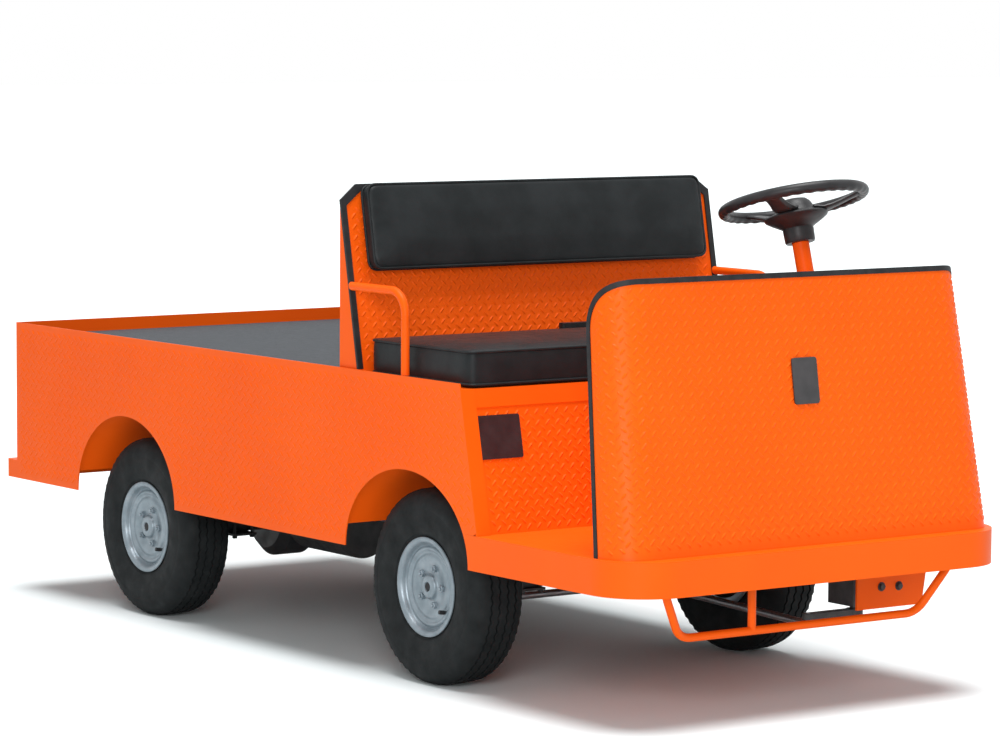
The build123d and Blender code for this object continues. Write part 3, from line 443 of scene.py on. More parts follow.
def cowl_spot(u, v, h):
    """A spot on the unrolled sheet, u across from the middle and v up the front, lifted by h."""
    side = 1 if u >= 0 else -1
    start = COWL_BASE - cowl_across * cowl_tangent
    flat_start = Vector((start.x, (start - Vector((0, COWL_BASE.y, deck_top))).dot(cowl_rise)))
    flat_lean = Vector((cowl_lean.x, cowl_lean.dot(cowl_rise)))
    flat_out = Vector((flat_lean.y, -flat_lean.x))
    spot = Vector((abs(u), v)) - flat_start
    up, out = spot.dot(flat_lean), spot.dot(flat_out)
    bend = COWL_CORNER_RADIUS * cowl_turn
    if out <= 0:
        section, normal = Vector((out, 0)), Vector((0, -1))
    else:
        angle = min(out / COWL_CORNER_RADIUS, cowl_turn)
        section = Vector((math.sin(angle), 1 - math.cos(angle))) * COWL_CORNER_RADIUS
        normal = Vector((math.sin(angle), -math.cos(angle)))
        if out > bend:
            section += cowl_wing * (out - bend)
    section += normal * h
    point = start + cowl_lean * up + cowl_across * section.x + cowl_inward * section.y
    point.x *= side
    return point


def on_cowl(u, v):
    point = cowl_spot(u, v, 0)
    if not deck_top + COWL_FOOT_MARGIN < point.z < COWL_TOP.z - COWL_TRIM:
        return False
    if point.z < COWL_CURVE_START.z:
        slope = cowl_lean.y / cowl_lean.z
        edge = COWL_CURVE_START.y - slope * (COWL_CURVE_START.z - point.z)
        return point.y < edge - COWL_TRIM
    back = (point.y - COWL_TOP.y) / (COWL_CURVE_START.y - COWL_TOP.y - COWL_TRIM)
    up = (point.z - COWL_CURVE_START.z) / (COWL_TOP.z - COWL_CURVE_START.z - COWL_TRIM)
    return back < 0 or back**2 + up**2 < 1


def cowl_lugs():
    soup = Soup()
    reach = COWL_BASE.x + COWL_CORNER_RADIUS + COWL_WING_DEPTH
    add_lugs(soup, cowl_spot, on_cowl, (-reach, reach), (0, COWL_TOP.z - deck_top + COWL_CORNER_RADIUS))
    soup.piece("cowl_tread_lugs", FINISHES["body_paint"], "chassis", LUG_SHARP)


# Round forms

def ring_faces(rows, columns, closed_rows=False):
    """Quads over a grid of rows, each a closed ring of columns."""
    faces = []
    for row in range(rows if closed_rows else rows - 1):
        for column in range(columns):
            a = row * columns + column
            b = row * columns + (column + 1) % columns
            c = (row + 1) % rows * columns + (column + 1) % columns
            d = (row + 1) % rows * columns + column
            faces.append((a, b, c, d))
    return faces


def turned(profile, segments, place):
    """Points and faces of a closed profile of (along, radius) turned round an axis."""
    points = []
    for along, radius in profile:
        for step in range(segments):
            turn = 2 * math.pi * step / segments
            points.append(place(along, radius * math.cos(turn), radius * math.sin(turn)))
    return points, ring_faces(len(profile), segments, closed_rows=True)


def rounded(corners, radius, steps=5, closed=False):
    """A path through corners, each rounded by an arc of about that radius."""
    count = len(corners)
    path = []
    for index, corner in enumerate(corners):
        if not closed and index in (0, count - 1):
            path.append(Vector(corner))
            continue
        corner = Vector(corner)
        back = Vector(corners[index - 1]) - corner
        ahead = Vector(corners[(index + 1) % count]) - corner
        half = back.angle(ahead) / 2
        cut = min(radius / math.tan(half), back.length * 0.49, ahead.length * 0.49)
        start, end = corner + back.normalized() * cut, corner + ahead.normalized() * cut
        for step in range(steps + 1):
            t = step / steps
            path.append(start * (1 - t) ** 2 + corner * 2 * t * (1 - t) + end * t**2)
    return path


def oblong(half_width, half_height):
    """The four corners of a rectangle about a local frame's origin, counterclockwise."""
    return [Vector((half_width * u, half_height * v, 0)) for u, v in ((1, 1), (-1, 1), (-1, -1), (1, -1))]


def tube(soup, path, radius, sides, closed=False):
    """A round tube along a path, its ends closed flat."""
    count = len(path)
    points = []
    normal = None
    for index, spot in enumerate(path):
        before = path[index - 1] if closed or index else spot
        after = path[(index + 1) % count] if closed or index < count - 1 else spot
        along = (after - before).normalized()
        if normal is None:
            helper = Vector((0, 0, 1)) if abs(along.z) < 0.9 else Vector((1, 0, 0))
            normal = along.cross(helper).normalized()
        normal = (normal - along * normal.dot(along)).normalized()
        other = along.cross(normal)
        for step in range(sides):
            turn = 2 * math.pi * step / sides
            points.append(spot + normal * (radius * math.cos(turn)) + other * (radius * math.sin(turn)))
    faces = ring_faces(count, sides, closed_rows=closed)
    if not closed:
        faces.append(tuple(reversed(range(sides))))
        faces.append(tuple(range((count - 1) * sides, count * sides)))
    soup.add(points, faces)


def prism(soup, place, radius, sides, low, high, chamfer=0.0):
    """An upright prism or disc in a local frame, its top edge chamfered."""
    rings = [(radius, low), (radius, high - chamfer), (radius - chamfer, high)]
    points = []
    for ring_radius, height in rings:
        for step in range(sides):
            turn = 2 * math.pi * step / sides
            points.append(place(ring_radius * math.cos(turn), ring_radius * math.sin(turn), height))
    faces = ring_faces(len(rings), sides)
    faces.append(tuple(reversed(range(sides))))
    faces.append(tuple(range(2 * sides, 3 * sides)))
    soup.add(points, faces)


def slab(soup, place, outline, low, high):
    """A flat plate with a convex outline, in a local frame."""
    count = len(outline)
    points = [place(u, v, low) for u, v in outline] + [place(u, v, high) for u, v in outline]
    faces = [(i, (i + 1) % count, count + (i + 1) % count, count + i) for i in range(count)]
    faces.append(tuple(reversed(range(count))))
    faces.append(tuple(range(count, 2 * count)))
    soup.add(points, faces)


def local(origin, x_axis, y_axis):
    """A function that takes a spot in a local frame to the row frame."""
    x_axis, y_axis = Vector(x_axis).normalized(), Vector(y_axis).normalized()
    z_axis = x_axis.cross(y_axis)
    origin = Vector(origin)
    return lambda u, v, w=0.0: origin + x_axis * u + y_axis * v + z_axis * w


# Tyres. The section's numbers are in millimetres: across, radius and, on the shoulder, the notch's depth.
TYRE_SEGMENTS = 120
TYRE_RADIUS = 230
TYRE_SIDE = (
    (50, 103), (54, 112), (57, 120), (60, 124), (61.5, 124.5), (62.5, 127), (66, 138), (69.5, 152),
    (71, 167), (70.3, 182), (69.7, 185), (70.2, 187), (68, 198), (65, 207), (62.5, 212),
)
SHOULDER_RINGS = ((60.5, 216.5, 2.5), (57, 221, 3.5), (52, 224.5, 3.5), (47.5, 226.5, 0))
GROOVES = (-33, -11.5, 11.5, 33)
GROOVE_HALF_WIDTH = 2.6
GROOVE_SECTION = ((-1, 0), (-0.6, 5), (0.6, 5), (1, 0))  # share of the half width, depth
GROOVE_SWING = 2.2
CROWN_DROP = 1.1
CROWN_HALF_WIDTH = 38


def tread_profile():
    """The tyre's section as (across, radius, swing, notch) in millimetres, from one bead to the other."""
    half = [(across, radius, 0, 0) for across, radius in TYRE_SIDE]
    half += [(across, radius, 0, notch) for across, radius, notch in SHOULDER_RINGS]
    left = [(-across, radius, swing, notch) for across, radius, swing, notch in half]
    crown = []
    for middle in GROOVES:
        top = TYRE_RADIUS - CROWN_DROP * (middle / CROWN_HALF_WIDTH) ** 2
        for offset, depth in GROOVE_SECTION:
            crown.append((middle + offset * GROOVE_HALF_WIDTH, top - depth, GROOVE_SWING, 0))
        if middle == GROOVES[len(GROOVES) // 2 - 1]:
            crown.append((0, TYRE_RADIUS, 0, 0))
    return left + crown + half[::-1]


def make_tyre(place):
    centre = wheel_places[place]
    profile = tread_profile()
    points = []
    for across, radius, swing, notch in profile:
        for step in range(TYRE_SEGMENTS):
            turn = 2 * math.pi * step / TYRE_SEGMENTS
            zig = 1 if step % 2 else -1
            reach = (radius - (notch if step % 2 else 0)) * MM
            x = (across + swing * zig) * MM
            points.append(centre + Vector((x, reach * math.sin(turn), reach * math.cos(turn))))
    soup = Soup()
    soup.add(points, [face[::-1] for face in ring_faces(len(profile), TYRE_SEGMENTS, closed_rows=True)])
    made = soup.piece(f"tyre_{place}_tread", FINISHES["tyre_rubber"], f"wheel_{place}", 28)
    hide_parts(f"tyre_{place}")


# Rims. The section's numbers are (along the axle, radius) in millimetres.
RIM_SEGMENTS = 96
RIM_SECTION = (
    (-62, 98), (-63, 104), (-62.6, 113), (-61, 116.4), (-58.6, 117), (-57.2, 114.5), (-56.8, 108),
    (-55, 102.6), (0, 101.4), (55, 102.6), (56.8, 108), (57.2, 114.5), (58.6, 117), (61, 116.4),
    (62.6, 113), (62, 108.5), (59, 104.5), (55, 102), (50, 100.5), (46.5, 99), (45, 97), (45.5, 95),
    (48, 93), (49.5, 91), (50, 88.5), (49, 86), (46, 83.5), (44.5, 80.5), (44.5, 77), (46.5, 74.5),
    (47.5, 72), (47.5, 66), (46, 58), (44, 50), (42.5, 44), (42.5, 36), (44, 31), (47, 28.6),
    (51, 27.8), (54, 26), (56, 22), (56, 12), (53.4, 11), (53.2, 0.4), (48.5, 0.4), (48.5, 14.2),
    (10, 14.2), (10, 27), (37, 30), (37, 46), (39, 58), (41, 66), (41, 70), (39, 73), (38.5, 84),
    (42, 87), (43.5, 90), (41, 93), (39, 95.5), (20, 96.5), (-4, 97.2),
)
RIM_FACE = 42.5 * MM
NUT_CIRCLE = 45 * MM
NUT_COUNT = 5
NUT_RADIUS = 8.5 * MM
NUT_SPAN = (-1 * MM, 8 * MM)
STUD_RADIUS = 4.5 * MM
STUD_SPAN = (7 * MM, 12 * MM)
CENTRE_NUT_RADIUS = 10.5 * MM
CENTRE_NUT_SPAN = (49 * MM, 55 * MM)
VALVE_TURN = math.radians(320)
VALVE_FOOT = (84 * MM, 42 * MM)  # radius, along the axle
VALVE_TIP = (80 * MM, 62 * MM)
VALVE_RADIUS = 4.2 * MM
VALVE_CAP_RADIUS = 5 * MM


def wheel_frame(place):
    """A wheel's local frame: u and v across the disc, w outward along its axle."""
    side = 1 if wheel_places[place].x > 0 else -1
    return local(wheel_places[place], (0, side, 0), (0, 0, 1))


def make_rim(place):
    spot = wheel_frame(place)
    soup = Soup()
    points, faces = turned(
        [(along * MM, radius * MM) for along, radius in RIM_SECTION],
        RIM_SEGMENTS,
        lambda along, u, v: spot(u, v, along),
    )
    soup.add(points, [face[::-1] for face in faces])
    rim = soup.piece(f"rim_{place}_pressed", FINISHES["rim_paint"], f"wheel_{place}", 40)
    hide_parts(f"rim_{place}")


def apply_modifiers(piece):
    graph = bpy.context.evaluated_depsgraph_get()
    mesh = bpy.data.meshes.new_from_object(piece.evaluated_get(graph))
    piece.modifiers.clear()
    piece.data = mesh


def make_wheel_fittings(place):
    """Wheel nuts on their studs, the centre nut and the tyre's valve."""
    spot = wheel_frame(place)
    body = f"wheel_{place}"
    nuts = Soup()
    for number in range(NUT_COUNT):
        turn = 2 * math.pi * number / NUT_COUNT
        u, v = NUT_CIRCLE * math.cos(turn), NUT_CIRCLE * math.sin(turn)
        nut = local(spot(u, v, RIM_FACE), spot(1, 0) - spot(0, 0), spot(0, 1) - spot(0, 0))
        prism(nuts, nut, NUT_RADIUS, 6, *NUT_SPAN, 1.2 * MM)
        prism(nuts, nut, STUD_RADIUS, 16, *STUD_SPAN, 0.8 * MM)
    nuts.piece(f"wheel_nuts_{place}", FINISHES["rim_paint"], body, 30)
    centre = Soup()
    prism(centre, spot, CENTRE_NUT_RADIUS, 32, *CENTRE_NUT_SPAN, 1.6 * MM)
    centre.piece(f"axle_nut_{place}", FINISHES["edge_trim"], body, 30)
    valve = Soup()
    u, v = math.cos(VALVE_TURN), math.sin(VALVE_TURN)
    foot, tip = (spot(radius * u, radius * v, along) for radius, along in (VALVE_FOOT, VALVE_TIP))
    tube(valve, [foot, tip], VALVE_RADIUS, 14)
    tube(valve, [foot.lerp(tip, 0.45), tip.lerp(foot, -0.1)], VALVE_CAP_RADIUS, 14)
    valve.piece(f"tyre_valve_{place}", FINISHES["edge_trim"], body, 30)


# Steering wheel
wheel_low, wheel_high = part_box("steering_wheel")
STEER_RADIUS = 165 * MM
STEER_TUBE = 13.5 * MM
STEER_CENTRE_Z = 1121 * MM
GEAR_Y = -1137 * MM
GEAR_TOP_Z = 296 * MM
steer_centre = Vector((
    (wheel_low.x + wheel_high.x) / 2,
    GEAR_Y + (STEER_CENTRE_Z - GEAR_TOP_Z) * math.tan(COLUMN_LEAN),
    STEER_CENTRE_Z,
))
GRIP_BUMPS = 36
GRIP_DEPTH = 1.6 * MM
SPOKE_DEGREES = (90, 210, 330)
# The hub as (along, radius), then the spokes as (reach, half width, height), in millimetres
STEER_HUB = (
    (6, 0.3), (6, 20), (4, 30), (-3, 38), (-14, 44), (-24, 48), (-30, 54), (-31, 64), (-31.5, 71), (-33, 75),
    (-36, 76), (-41, 73), (-49, 61), (-57, 47), (-62, 38.5), (-64, 36), (-68, 36.5), (-94, 35.6), (-98, 33.5),
    (-98, 21), (-60, 20.3), (-60, 0.3),
)
SPOKE_STATIONS = (
    (42, 26, -22), (64, 28, -27), (84, 26, -24), (104, 22, -18), (130, 20, -9), (150, 23, -3), (163, 28, 0),
)


def make_steering_wheel():
    """A moulded wheel: a rim with finger grips, a hub over a shallow dish, and three dished spokes."""
    spot = local(steer_centre, (1, 0, 0), (0, math.cos(COLUMN_LEAN), -math.sin(COLUMN_LEAN)))
    soup = Soup()
    around, across = 180, 20
    points = []
    for step in range(around):
        turn = 2 * math.pi * step / around
        for ring in range(across):
            angle = 2 * math.pi * ring / across
            low = max(0.0, -math.sin(angle))
            grip = GRIP_DEPTH * low * (0.5 + 0.5 * math.cos(GRIP_BUMPS * turn))
            radius = STEER_TUBE - grip
            reach = STEER_RADIUS + radius * math.cos(angle)
            points.append(spot(reach * math.cos(turn), reach * math.sin(turn), radius * math.sin(angle)))
    soup.add(points, ring_faces(around, across, closed_rows=True))
    points, faces = turned(
        [(along * MM, radius * MM) for along, radius in STEER_HUB], 72, lambda along, u, v: spot(u, v, along))
    soup.add(points, faces)
    for degrees in SPOKE_DEGREES:
        add_spoke(soup, spot, math.radians(degrees))
    wheel = soup.piece("steering_wheel_moulded", FINISHES["wheel_plastic"], "steering_wheel", 40)
    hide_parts("steering_wheel")


def add_spoke(soup, spot, turn):
    """One dished spoke, low at the hub, narrow halfway and wider where it meets the rim."""
    sides = 12
    points = []
    for reach, half_width, height in SPOKE_STATIONS:
        for step in range(sides):
            angle = 2 * math.pi * step / sides
            width = half_width * math.copysign(abs(math.cos(angle)) ** 0.6, math.cos(angle))
            depth = 5.5 * math.copysign(abs(math.sin(angle)) ** 0.7, math.sin(angle))
            depth += 2.5 * (width / half_width) ** 2
            u = reach * math.cos(turn) - width * math.sin(turn)
            v = reach * math.sin(turn) + width * math.cos(turn)
            points.append(spot(u * MM, v * MM, (height + depth) * MM))
    faces = ring_faces(len(SPOKE_STATIONS), sides)
    faces.append(tuple(reversed(range(sides))))
    faces.append(tuple(range((len(SPOKE_STATIONS) - 1) * sides, len(SPOKE_STATIONS) * sides)))
    soup.add(points, faces)


# Cushions
CUSHION_VOXEL = 8 * MM
CUSHION_STEPS = 16
WELT_RADIUS = 3.2 * MM
PAD_HELD = 3 * MM  # what lies this near its base keeps its place
PAD_CAP = 7 * MM
SEAM_REACH = 9 * MM
CUSHION_SPREAD = 16 * MM
CUSHION_CROWN = 6 * MM
CUSHION_CORNER = 26 * MM
CUSHION_EDGE = 7 * MM
CUSHION_SEAM_DROP = 4 * MM
CUSHION_TOP_FREE = 2 * MM
CUSHION_LOW_SEAM = 8 * MM
BACKREST_CORNER = 24 * MM
BACKREST_EDGE = 9 * MM
BACKREST_SEAM_DROP = 10 * MM
BACKREST_TOP_FREE = 5 * MM
BACKREST_LOW_SEAM = 7 * MM
BACKREST_SPREAD = 9 * MM
BACKREST_BOTTOM_Z = 948 * MM
BACKREST_TOP_Z = 1150 * MM
BACKREST_THICKNESS = 42 * MM
BACKREST_STANDOFF = 4.3 * MM


def pad_block(name, spot, half_width, half_depth, height, corner, edge):
    """A rounded block in a local frame, ready to swell."""
    plan = rounded(oblong(half_width, half_depth), corner, 6, closed=True)
    rings = []
    for inset, level in ((edge, 0), (edge * 0.3, edge * 0.3), (0, edge), (0, height - edge),
                         (edge * 0.3, height - edge * 0.3), (edge, height)):
        rings.append([
            spot(p.x * (1 - inset / half_width), p.y * (1 - inset / half_depth), level) for p in plan])
    count = len(plan)
    points = [p for ring in rings for p in ring]
    faces = ring_faces(len(rings), count)
    faces.append(tuple(reversed(range(count))))
    faces.append(tuple(range((len(rings) - 1) * count, len(rings) * count)))
    soup = Soup()
    soup.add(points, faces)
    return soup.piece(name, FINISHES["vinyl"], "chassis", 60)


def swell(piece, held, cap):
    """Puff a closed pad with cloth pressure; held(point) is the share of its place that a point keeps."""
    remesh = piece.modifiers.new("remesh", "REMESH")
    remesh.mode = "VOXEL"
    remesh.voxel_size = CUSHION_VOXEL
    apply_modifiers(piece)
    rest = [v.co.copy() for v in piece.data.vertices]
    pins = piece.vertex_groups.new(name="held")
    for index, point in enumerate(rest):
        pins.add([index], held(point), "REPLACE")
    cloth = piece.modifiers.new("cloth", "CLOTH")
    cloth.settings.use_pressure = True
    cloth.settings.uniform_pressure_force = 4
    cloth.settings.vertex_group_mass = "held"
    cloth.settings.quality = 5
    cloth.settings.effector_weights.gravity = 0
    cloth.collision_settings.use_collision = False
    scene = bpy.context.scene
    for step in range(1, CUSHION_STEPS + 1):
        scene.frame_set(step)
    apply_modifiers(piece)
    scene.frame_set(1)
    for vertex, point in zip(piece.data.vertices, rest):
        moved = vertex.co - point
        free = 1 - held(point)
        limit = cap * free
        if moved.length > limit:
            vertex.co = point + moved.normalized() * limit
    smooth = piece.modifiers.new("smooth", "SMOOTH")
    smooth.iterations = 4
    round_off = piece.modifiers.new("round_off", "SUBSURF")
    round_off.levels = 1
    round_off.render_levels = 1
    apply_modifiers(piece)
    piece.data.shade_smooth()
    return piece


def share_held(level, seam, free_above):
    """How much of its place a pad's point keeps: all of it at the base, and most of it at the seam."""
    if level < PAD_HELD:
        return 1.0
    return max(0.0, 1 - abs(level - seam) / SEAM_REACH) ** 0.5 if level < free_above else 0.0


def welt(name, spot, half_width, half_depth, corner, levels):
    """Piping round a pad, sunk 1 mm into it, a closed cord at each of the levels given."""
    plan = rounded(oblong(half_width - 1 * MM, half_depth - 1 * MM), corner, 8, closed=True)
    soup = Soup()
    for level in levels:
        path = [spot(p.x, p.y, level) for p in plan]
        tube(soup, path, WELT_RADIUS, 10, closed=True)
    return soup.piece(name, FINISHES["vinyl"], "chassis", 60)


def make_seat_cushion():
    low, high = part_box("seat_cushion")
    middle = Vector(((low.x + high.x) / 2, (low.y + high.y) / 2, low.z))
    spot = local(middle, (1, 0, 0), (0, 1, 0))
    half_width, half_depth = (high.x - low.x) / 2 + CUSHION_SPREAD, (high.y - low.y) / 2 - 2 * MM
    height = high.z - low.z + CUSHION_CROWN
    seam = height - CUSHION_SEAM_DROP
    pad = pad_block("seat_cushion_pad", spot, half_width, half_depth, height, CUSHION_CORNER, CUSHION_EDGE)

    def held(point):
        return share_held(point.z - low.z, seam, height - CUSHION_TOP_FREE)

    swell(pad, held, PAD_CAP)
    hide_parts("seat_cushion")
    welt("seat_cushion_piping", spot, half_width, half_depth, CUSHION_CORNER, (seam, CUSHION_LOW_SEAM))


def make_backrest():
    low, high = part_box("backrest_cushion")
    outward = Vector((1, 0, 0)).cross(SEAT_BACK_RISE)
    thickness = BACKREST_THICKNESS
    start_v = (BACKREST_BOTTOM_Z - seat_plate_z) / SEAT_BACK_RISE.z
    end_v = (BACKREST_TOP_Z - seat_plate_z) / SEAT_BACK_RISE.z
    middle = SEAT_BACK_FOOT + SEAT_BACK_RISE * ((start_v + end_v) / 2) + outward * BACKREST_STANDOFF
    spot = local(middle, (1, 0, 0), SEAT_BACK_RISE)
    half_width = high.x + BACKREST_SPREAD
    half_depth = (end_v - start_v) / 2 - 2 * MM
    seam = thickness - BACKREST_SEAM_DROP
    pad = pad_block(
        "backrest_pad", spot, half_width, half_depth, thickness - 3 * MM, BACKREST_CORNER, BACKREST_EDGE)

    def held(point):
        return share_held((point - middle).dot(outward), seam, thickness - BACKREST_TOP_FREE)

    swell(pad, held, PAD_CAP)
    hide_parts("backrest_cushion")
    welt("backrest_piping", spot, half_width, half_depth, BACKREST_CORNER, (seam, BACKREST_LOW_SEAM))


# Bare plates where the photograph has a decal and a badge: half width, half height, corner and thickness
RISER_PLATE = (67 * MM, 50 * MM, 6 * MM, 1.5 * MM)
RISER_PLATE_X = -469 * MM
RISER_PLATE_RISE = 216 * MM
COWL_PLATE = (36 * MM, 52 * MM, 8 * MM, 3 * MM)
COWL_PLATE_Z = 746 * MM


def rounded_plate(soup, spot, half_width, half_height, corner, thickness):
    plan = rounded(oblong(half_width, half_height), corner, 5, closed=True)
    slab(soup, spot, [(p.x, p.y) for p in plan], 0, thickness)


def bare_plate(name, spot, sizes):
    soup = Soup()
    rounded_plate(soup, spot, *sizes)
    soup.piece(name, PLATE, "chassis", 40)


def make_plates():
    rise = Vector((0, RISER_SLOPE, 1)).normalized()
    foot = Vector((RISER_PLATE_X, riser_foot_y, deck_top)) + rise * (RISER_PLATE_RISE / rise.z)
    on_lugs = foot + Vector((1, 0, 0)).cross(rise) * LUG_HEIGHT
    bare_plate("riser_blank_plate", local(on_lugs, (1, 0, 0), rise), RISER_PLATE)
    middle = cowl_spot(0, (COWL_PLATE_Z - deck_top) / cowl_rise.z, LUG_HEIGHT)
    bare_plate("cowl_blank_plate", local(middle, (1, 0, 0), cowl_rise), COWL_PLATE)


# Small fasteners and fittings
BRACKET_FACE_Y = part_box("gear_bracket")[0].y
BRACKET_BOLTS = ((316 * MM, 246 * MM), (369 * MM, 244 * MM))
BOLT_RADIUS = 8 * MM
CLIP_RADIUS = 4.5 * MM
CLIP_REACH = 36 * MM
CLIP_END = 4 * MM
CLIP_BEND = 12 * MM
CLIP_NUT_RADIUS = 7.5 * MM
CLIP_NUT_HEIGHT = 6.5 * MM
SPRING_X = 224 * MM
SPRING_HALF_WIDTH = 22 * MM
SPRING_STACKS = (
    ("front_left", 204 * MM, 286 * MM),
    ("rear_left", 192 * MM, 288 * MM),
)
PEDAL_PLACES = (215 * MM, 385 * MM)
PEDAL_CENTRE = (-1130 * MM, 436 * MM)
PEDAL_LEAN = math.radians(42)
PEDAL_THICKNESS = 9 * MM
PEDAL_RIB_PITCH = 15 * MM
PEDAL_RIB_HALF_LENGTH = 30 * MM
PEDAL_RIB_HALF_WIDTH = 3 * MM
CATCH_X = 67 * MM
CATCH_BEHIND = 20 * MM
CATCH_SUNK = 4 * MM
CATCH_PLATE = (47 * MM, 11 * MM, 7 * MM, 24 * MM)
FOLD_WIDTH = 1.2 * MM
FOLD_ANGLE = math.radians(40)
FOLDED_NODES = (
    "front_deck", "rear_bumper", "side_panel_left", "side_panel_right", "seat_box", "gear_bracket")


def hex_bolt(soup, spot, radius):
    """A washer and a hexagon head, standing up from a face."""
    prism(soup, spot, radius * 1.35, 24, -0.5 * MM, 1.6 * MM, 0.4 * MM)
    prism(soup, spot, radius, 6, 1.6 * MM, 1.6 * MM + radius * 0.7, 0.9 * MM)


def make_bracket_bolts():
    soup = Soup()
    for x, z in BRACKET_BOLTS:
        hex_bolt(soup, local((x, BRACKET_FACE_Y, z), (1, 0, 0), (0, 0, 1)), BOLT_RADIUS)
    soup.piece("gear_bracket_bolts", FINISHES["cast_metal"], "chassis", 30)


def make_spring_clips():
    """U-bolts that hold each leaf spring on its axle, with a plate and nuts below."""
    soup = Soup()
    half = SPRING_HALF_WIDTH + CLIP_RADIUS
    for place, low, high in SPRING_STACKS:
        axle_y = wheel_places[place].y
        for side in (1, -1):
            x = side * SPRING_X
            for ahead in (-CLIP_REACH, CLIP_REACH):
                y = axle_y + ahead
                top = high + CLIP_RADIUS
                foot = low - CLIP_END
                corners = [(x - half, y, foot), (x - half, y, top), (x + half, y, top), (x + half, y, foot)]
                tube(soup, rounded([Vector(c) for c in corners], CLIP_BEND), CLIP_RADIUS, 10)
                for end in (-half, half):
                    spot = local((x + end, y, low), (1, 0, 0), (0, -1, 0))
                    prism(soup, spot, CLIP_NUT_RADIUS, 6, 0, CLIP_NUT_HEIGHT, 0.8 * MM)
            plate = local((x, axle_y, low), (1, 0, 0), (0, 1, 0))
            outline = [(p.x, p.y) for p in oblong(half + 8 * MM, CLIP_REACH + 10 * MM)]
            slab(soup, plate, outline, 0, 6 * MM)
    soup.piece("spring_clips", FINISHES["cast_metal"], "chassis", 30)


def make_pedal_ribs():
    soup = Soup()
    for x in PEDAL_PLACES:
        spot = local((x, *PEDAL_CENTRE), (1, 0, 0), (0, math.cos(PEDAL_LEAN), -math.sin(PEDAL_LEAN)))
        for rib in range(-2, 3):
            corners = oblong(PEDAL_RIB_HALF_LENGTH, PEDAL_RIB_HALF_WIDTH)
            outline = [(p.x, p.y + rib * PEDAL_RIB_PITCH) for p in corners]
            slab(soup, spot, outline, PEDAL_THICKNESS - 0.5 * MM, PEDAL_THICKNESS + 2 * MM)
    soup.piece("pedal_ribs", FINISHES["pedal_rubber"], "chassis", 30)


def make_seat_catch():
    """The small black catch that stands on the cushion's rear edge, against the seat back."""
    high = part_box("seat_cushion")[1]
    spot = local((CATCH_X, high.y - CATCH_BEHIND, high.z - CATCH_SUNK), (1, 0, 0), (0, 1, 0))
    soup = Soup()
    rounded_plate(soup, spot, *CATCH_PLATE)
    soup.piece("seat_catch", FINISHES["edge_trim"], "chassis", 40)


def soften_edges():
    """A small round on the sheet metal's folds, so that they catch the light."""
    for name in FOLDED_NODES:
        bevel = nodes[name].modifiers.new("fold", "BEVEL")
        bevel.width = FOLD_WIDTH
        bevel.segments = 2
        bevel.limit_method = "ANGLE"
        bevel.angle_limit = FOLD_ANGLE
        bevel.harden_normals = False


# Stage, camera and light
CAMERA_PLACE = Vector((-5.6663, -8.0371, 1.5703))
CAMERA_AZIMUTH = math.radians(-35.6)
CAMERA_DIP = math.radians(5.3)
CAMERA_ROLL = math.radians(0.3)
CAMERA_LENS = 142.64


def make_camera():
    ahead = Vector((
        -math.sin(CAMERA_AZIMUTH) * math.cos(CAMERA_DIP),
        math.cos(CAMERA_AZIMUTH) * math.cos(CAMERA_DIP),
        -math.sin(CAMERA_DIP),
    ))
    level = Vector((math.cos(CAMERA_AZIMUTH), math.sin(CAMERA_AZIMUTH), 0))
    up = level.cross(ahead)
    right = level * math.cos(CAMERA_ROLL) + up * math.sin(CAMERA_ROLL)
    up = up * math.cos(CAMERA_ROLL) - level * math.sin(CAMERA_ROLL)
    data = bpy.data.cameras.new("camera")
    data.lens = CAMERA_LENS
    data.sensor_width = 36
    data.clip_end = 200
    camera = bpy.data.objects.new("camera", data)
    camera.matrix_world = Matrix((
        (right.x, up.x, -ahead.x, CAMERA_PLACE.x),
        (right.y, up.y, -ahead.y, CAMERA_PLACE.y),
        (right.z, up.z, -ahead.z, CAMERA_PLACE.z),
        (0, 0, 0, 1),
    ))
    bpy.context.scene.collection.objects.link(camera)
    bpy.context.scene.camera = camera


FLOOR_HALF_SIZE = 60
FLOOR_TONE = (0.74, 0.79, 0.80, 1)
FLOOR_TONE_SEEN = (0.92, 0.99, 1.0, 1)


def make_floor():
    """A pale floor, a little paler to the camera, which keeps the shadow."""
    size = FLOOR_HALF_SIZE
    mesh = bpy.data.meshes.new("floor")
    corners = [(-size, -size, 0), (size, -size, 0), (size, size, 0), (-size, size, 0)]
    mesh.from_pydata(corners, [], [(0, 1, 2, 3)])
    floor = bpy.data.objects.new("floor", mesh)
    bpy.context.scene.collection.objects.link(floor)
    material = bpy.data.materials.new("pale_floor")
    material.use_nodes = True
    tree = material.node_tree
    shader = tree.nodes["Principled BSDF"]
    path = tree.nodes.new("ShaderNodeLightPath")
    tone = tree.nodes.new("ShaderNodeMixRGB")
    tone.inputs["Color1"].default_value = FLOOR_TONE
    tone.inputs["Color2"].default_value = FLOOR_TONE_SEEN
    tree.links.new(path.outputs["Is Camera Ray"], tone.inputs["Fac"])
    tree.links.new(tone.outputs["Color"], shader.inputs["Base Color"])
    shader.inputs["Roughness"].default_value = 0.9
    shader.inputs["Specular IOR Level"].default_value = 0.1
    mesh.materials.append(material)


WORLD_FILL = 0.32
KEY_STRENGTH = 3.6
KEY_ANGLE = math.radians(38)
KEY_FROM = Vector((-0.03, -0.1, 1.0))
SOFTBOX_SIZE = (2.2, 2.6)
SOFTBOX_POWER = 180
SOFTBOX_PLACE = Vector((-4.5, -5.6, 2.4))
SOFTBOX_AIM = Vector((0, -0.4, 0.6))


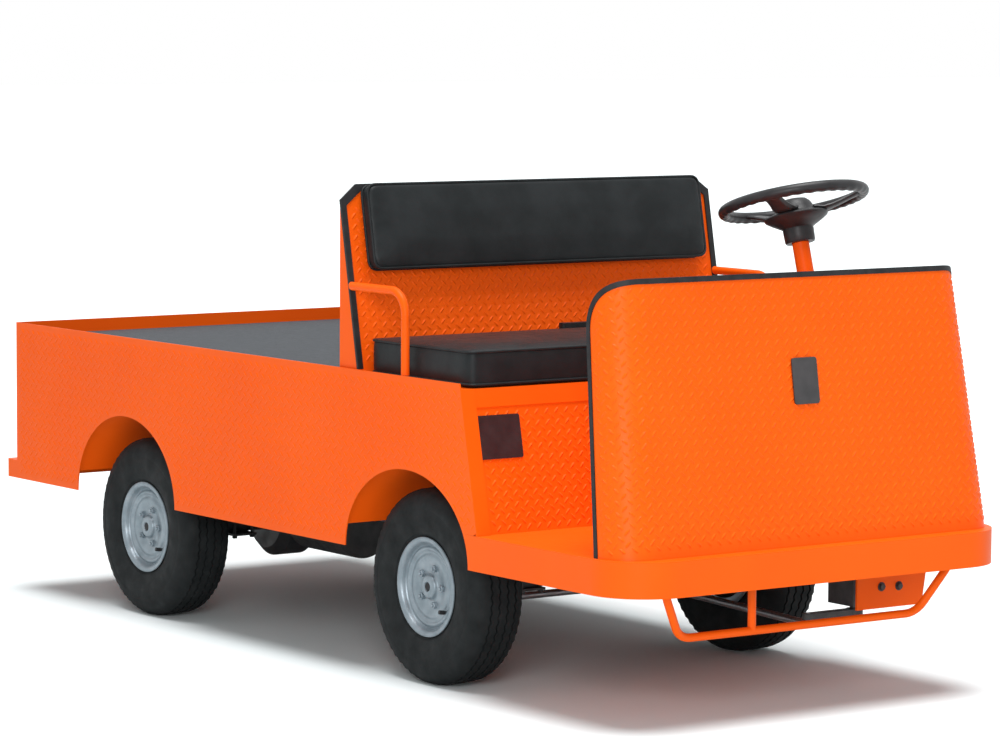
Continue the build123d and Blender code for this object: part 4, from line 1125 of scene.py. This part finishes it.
def make_light():
    """An even fill, white where it is seen or mirrored, a key from above and a softbox at the front."""
    world = bpy.data.worlds.new("studio")
    bpy.context.scene.world = world
    world.use_nodes = True
    tree = world.node_tree
    back = tree.nodes["Background"]
    back.inputs["Color"].default_value = (1, 1, 1, 1)
    path = tree.nodes.new("ShaderNodeLightPath")
    seen = path.outputs["Is Camera Ray"]
    for kind in ("Is Glossy Ray", "Is Transmission Ray"):
        either = tree.nodes.new("ShaderNodeMath")
        either.operation = "MAXIMUM"
        tree.links.new(seen, either.inputs[0])
        tree.links.new(path.outputs[kind], either.inputs[1])
        seen = either.outputs["Value"]
    strength = tree.nodes.new("ShaderNodeMapRange")
    strength.inputs["To Min"].default_value = WORLD_FILL
    strength.inputs["To Max"].default_value = 1.0
    tree.links.new(seen, strength.inputs["Value"])
    tree.links.new(strength.outputs["Result"], back.inputs["Strength"])
    sun = bpy.data.lights.new("key", "SUN")
    sun.energy = KEY_STRENGTH
    sun.angle = KEY_ANGLE
    key = bpy.data.objects.new("key", sun)
    key.rotation_euler = KEY_FROM.to_track_quat("Z", "Y").to_euler()
    bpy.context.scene.collection.objects.link(key)
    panel = bpy.data.lights.new("softbox", "AREA")
    panel.shape = "RECTANGLE"
    panel.size, panel.size_y = SOFTBOX_SIZE
    panel.energy = SOFTBOX_POWER
    softbox = bpy.data.objects.new("softbox", panel)
    softbox.location = SOFTBOX_PLACE
    softbox.rotation_euler = (SOFTBOX_PLACE - SOFTBOX_AIM).to_track_quat("Z", "Y").to_euler()
    softbox.visible_camera = False
    bpy.context.scene.collection.objects.link(softbox)


dress_nodes()
riser_lugs()
side_lugs(1, "side_left_tread_lugs")
side_lugs(-1, "side_right_tread_lugs")
seat_back_lugs()
cowl_lugs()
for place in wheel_places:
    make_tyre(place)
    make_rim(place)
    make_wheel_fittings(place)
make_steering_wheel()
make_seat_cushion()
make_backrest()
make_plates()
make_bracket_bolts()
make_spring_clips()
make_pedal_ribs()
make_seat_catch()
soften_edges()
make_camera()
make_floor()
make_light()
bpy.context.scene.view_settings.view_transform = "Standard"
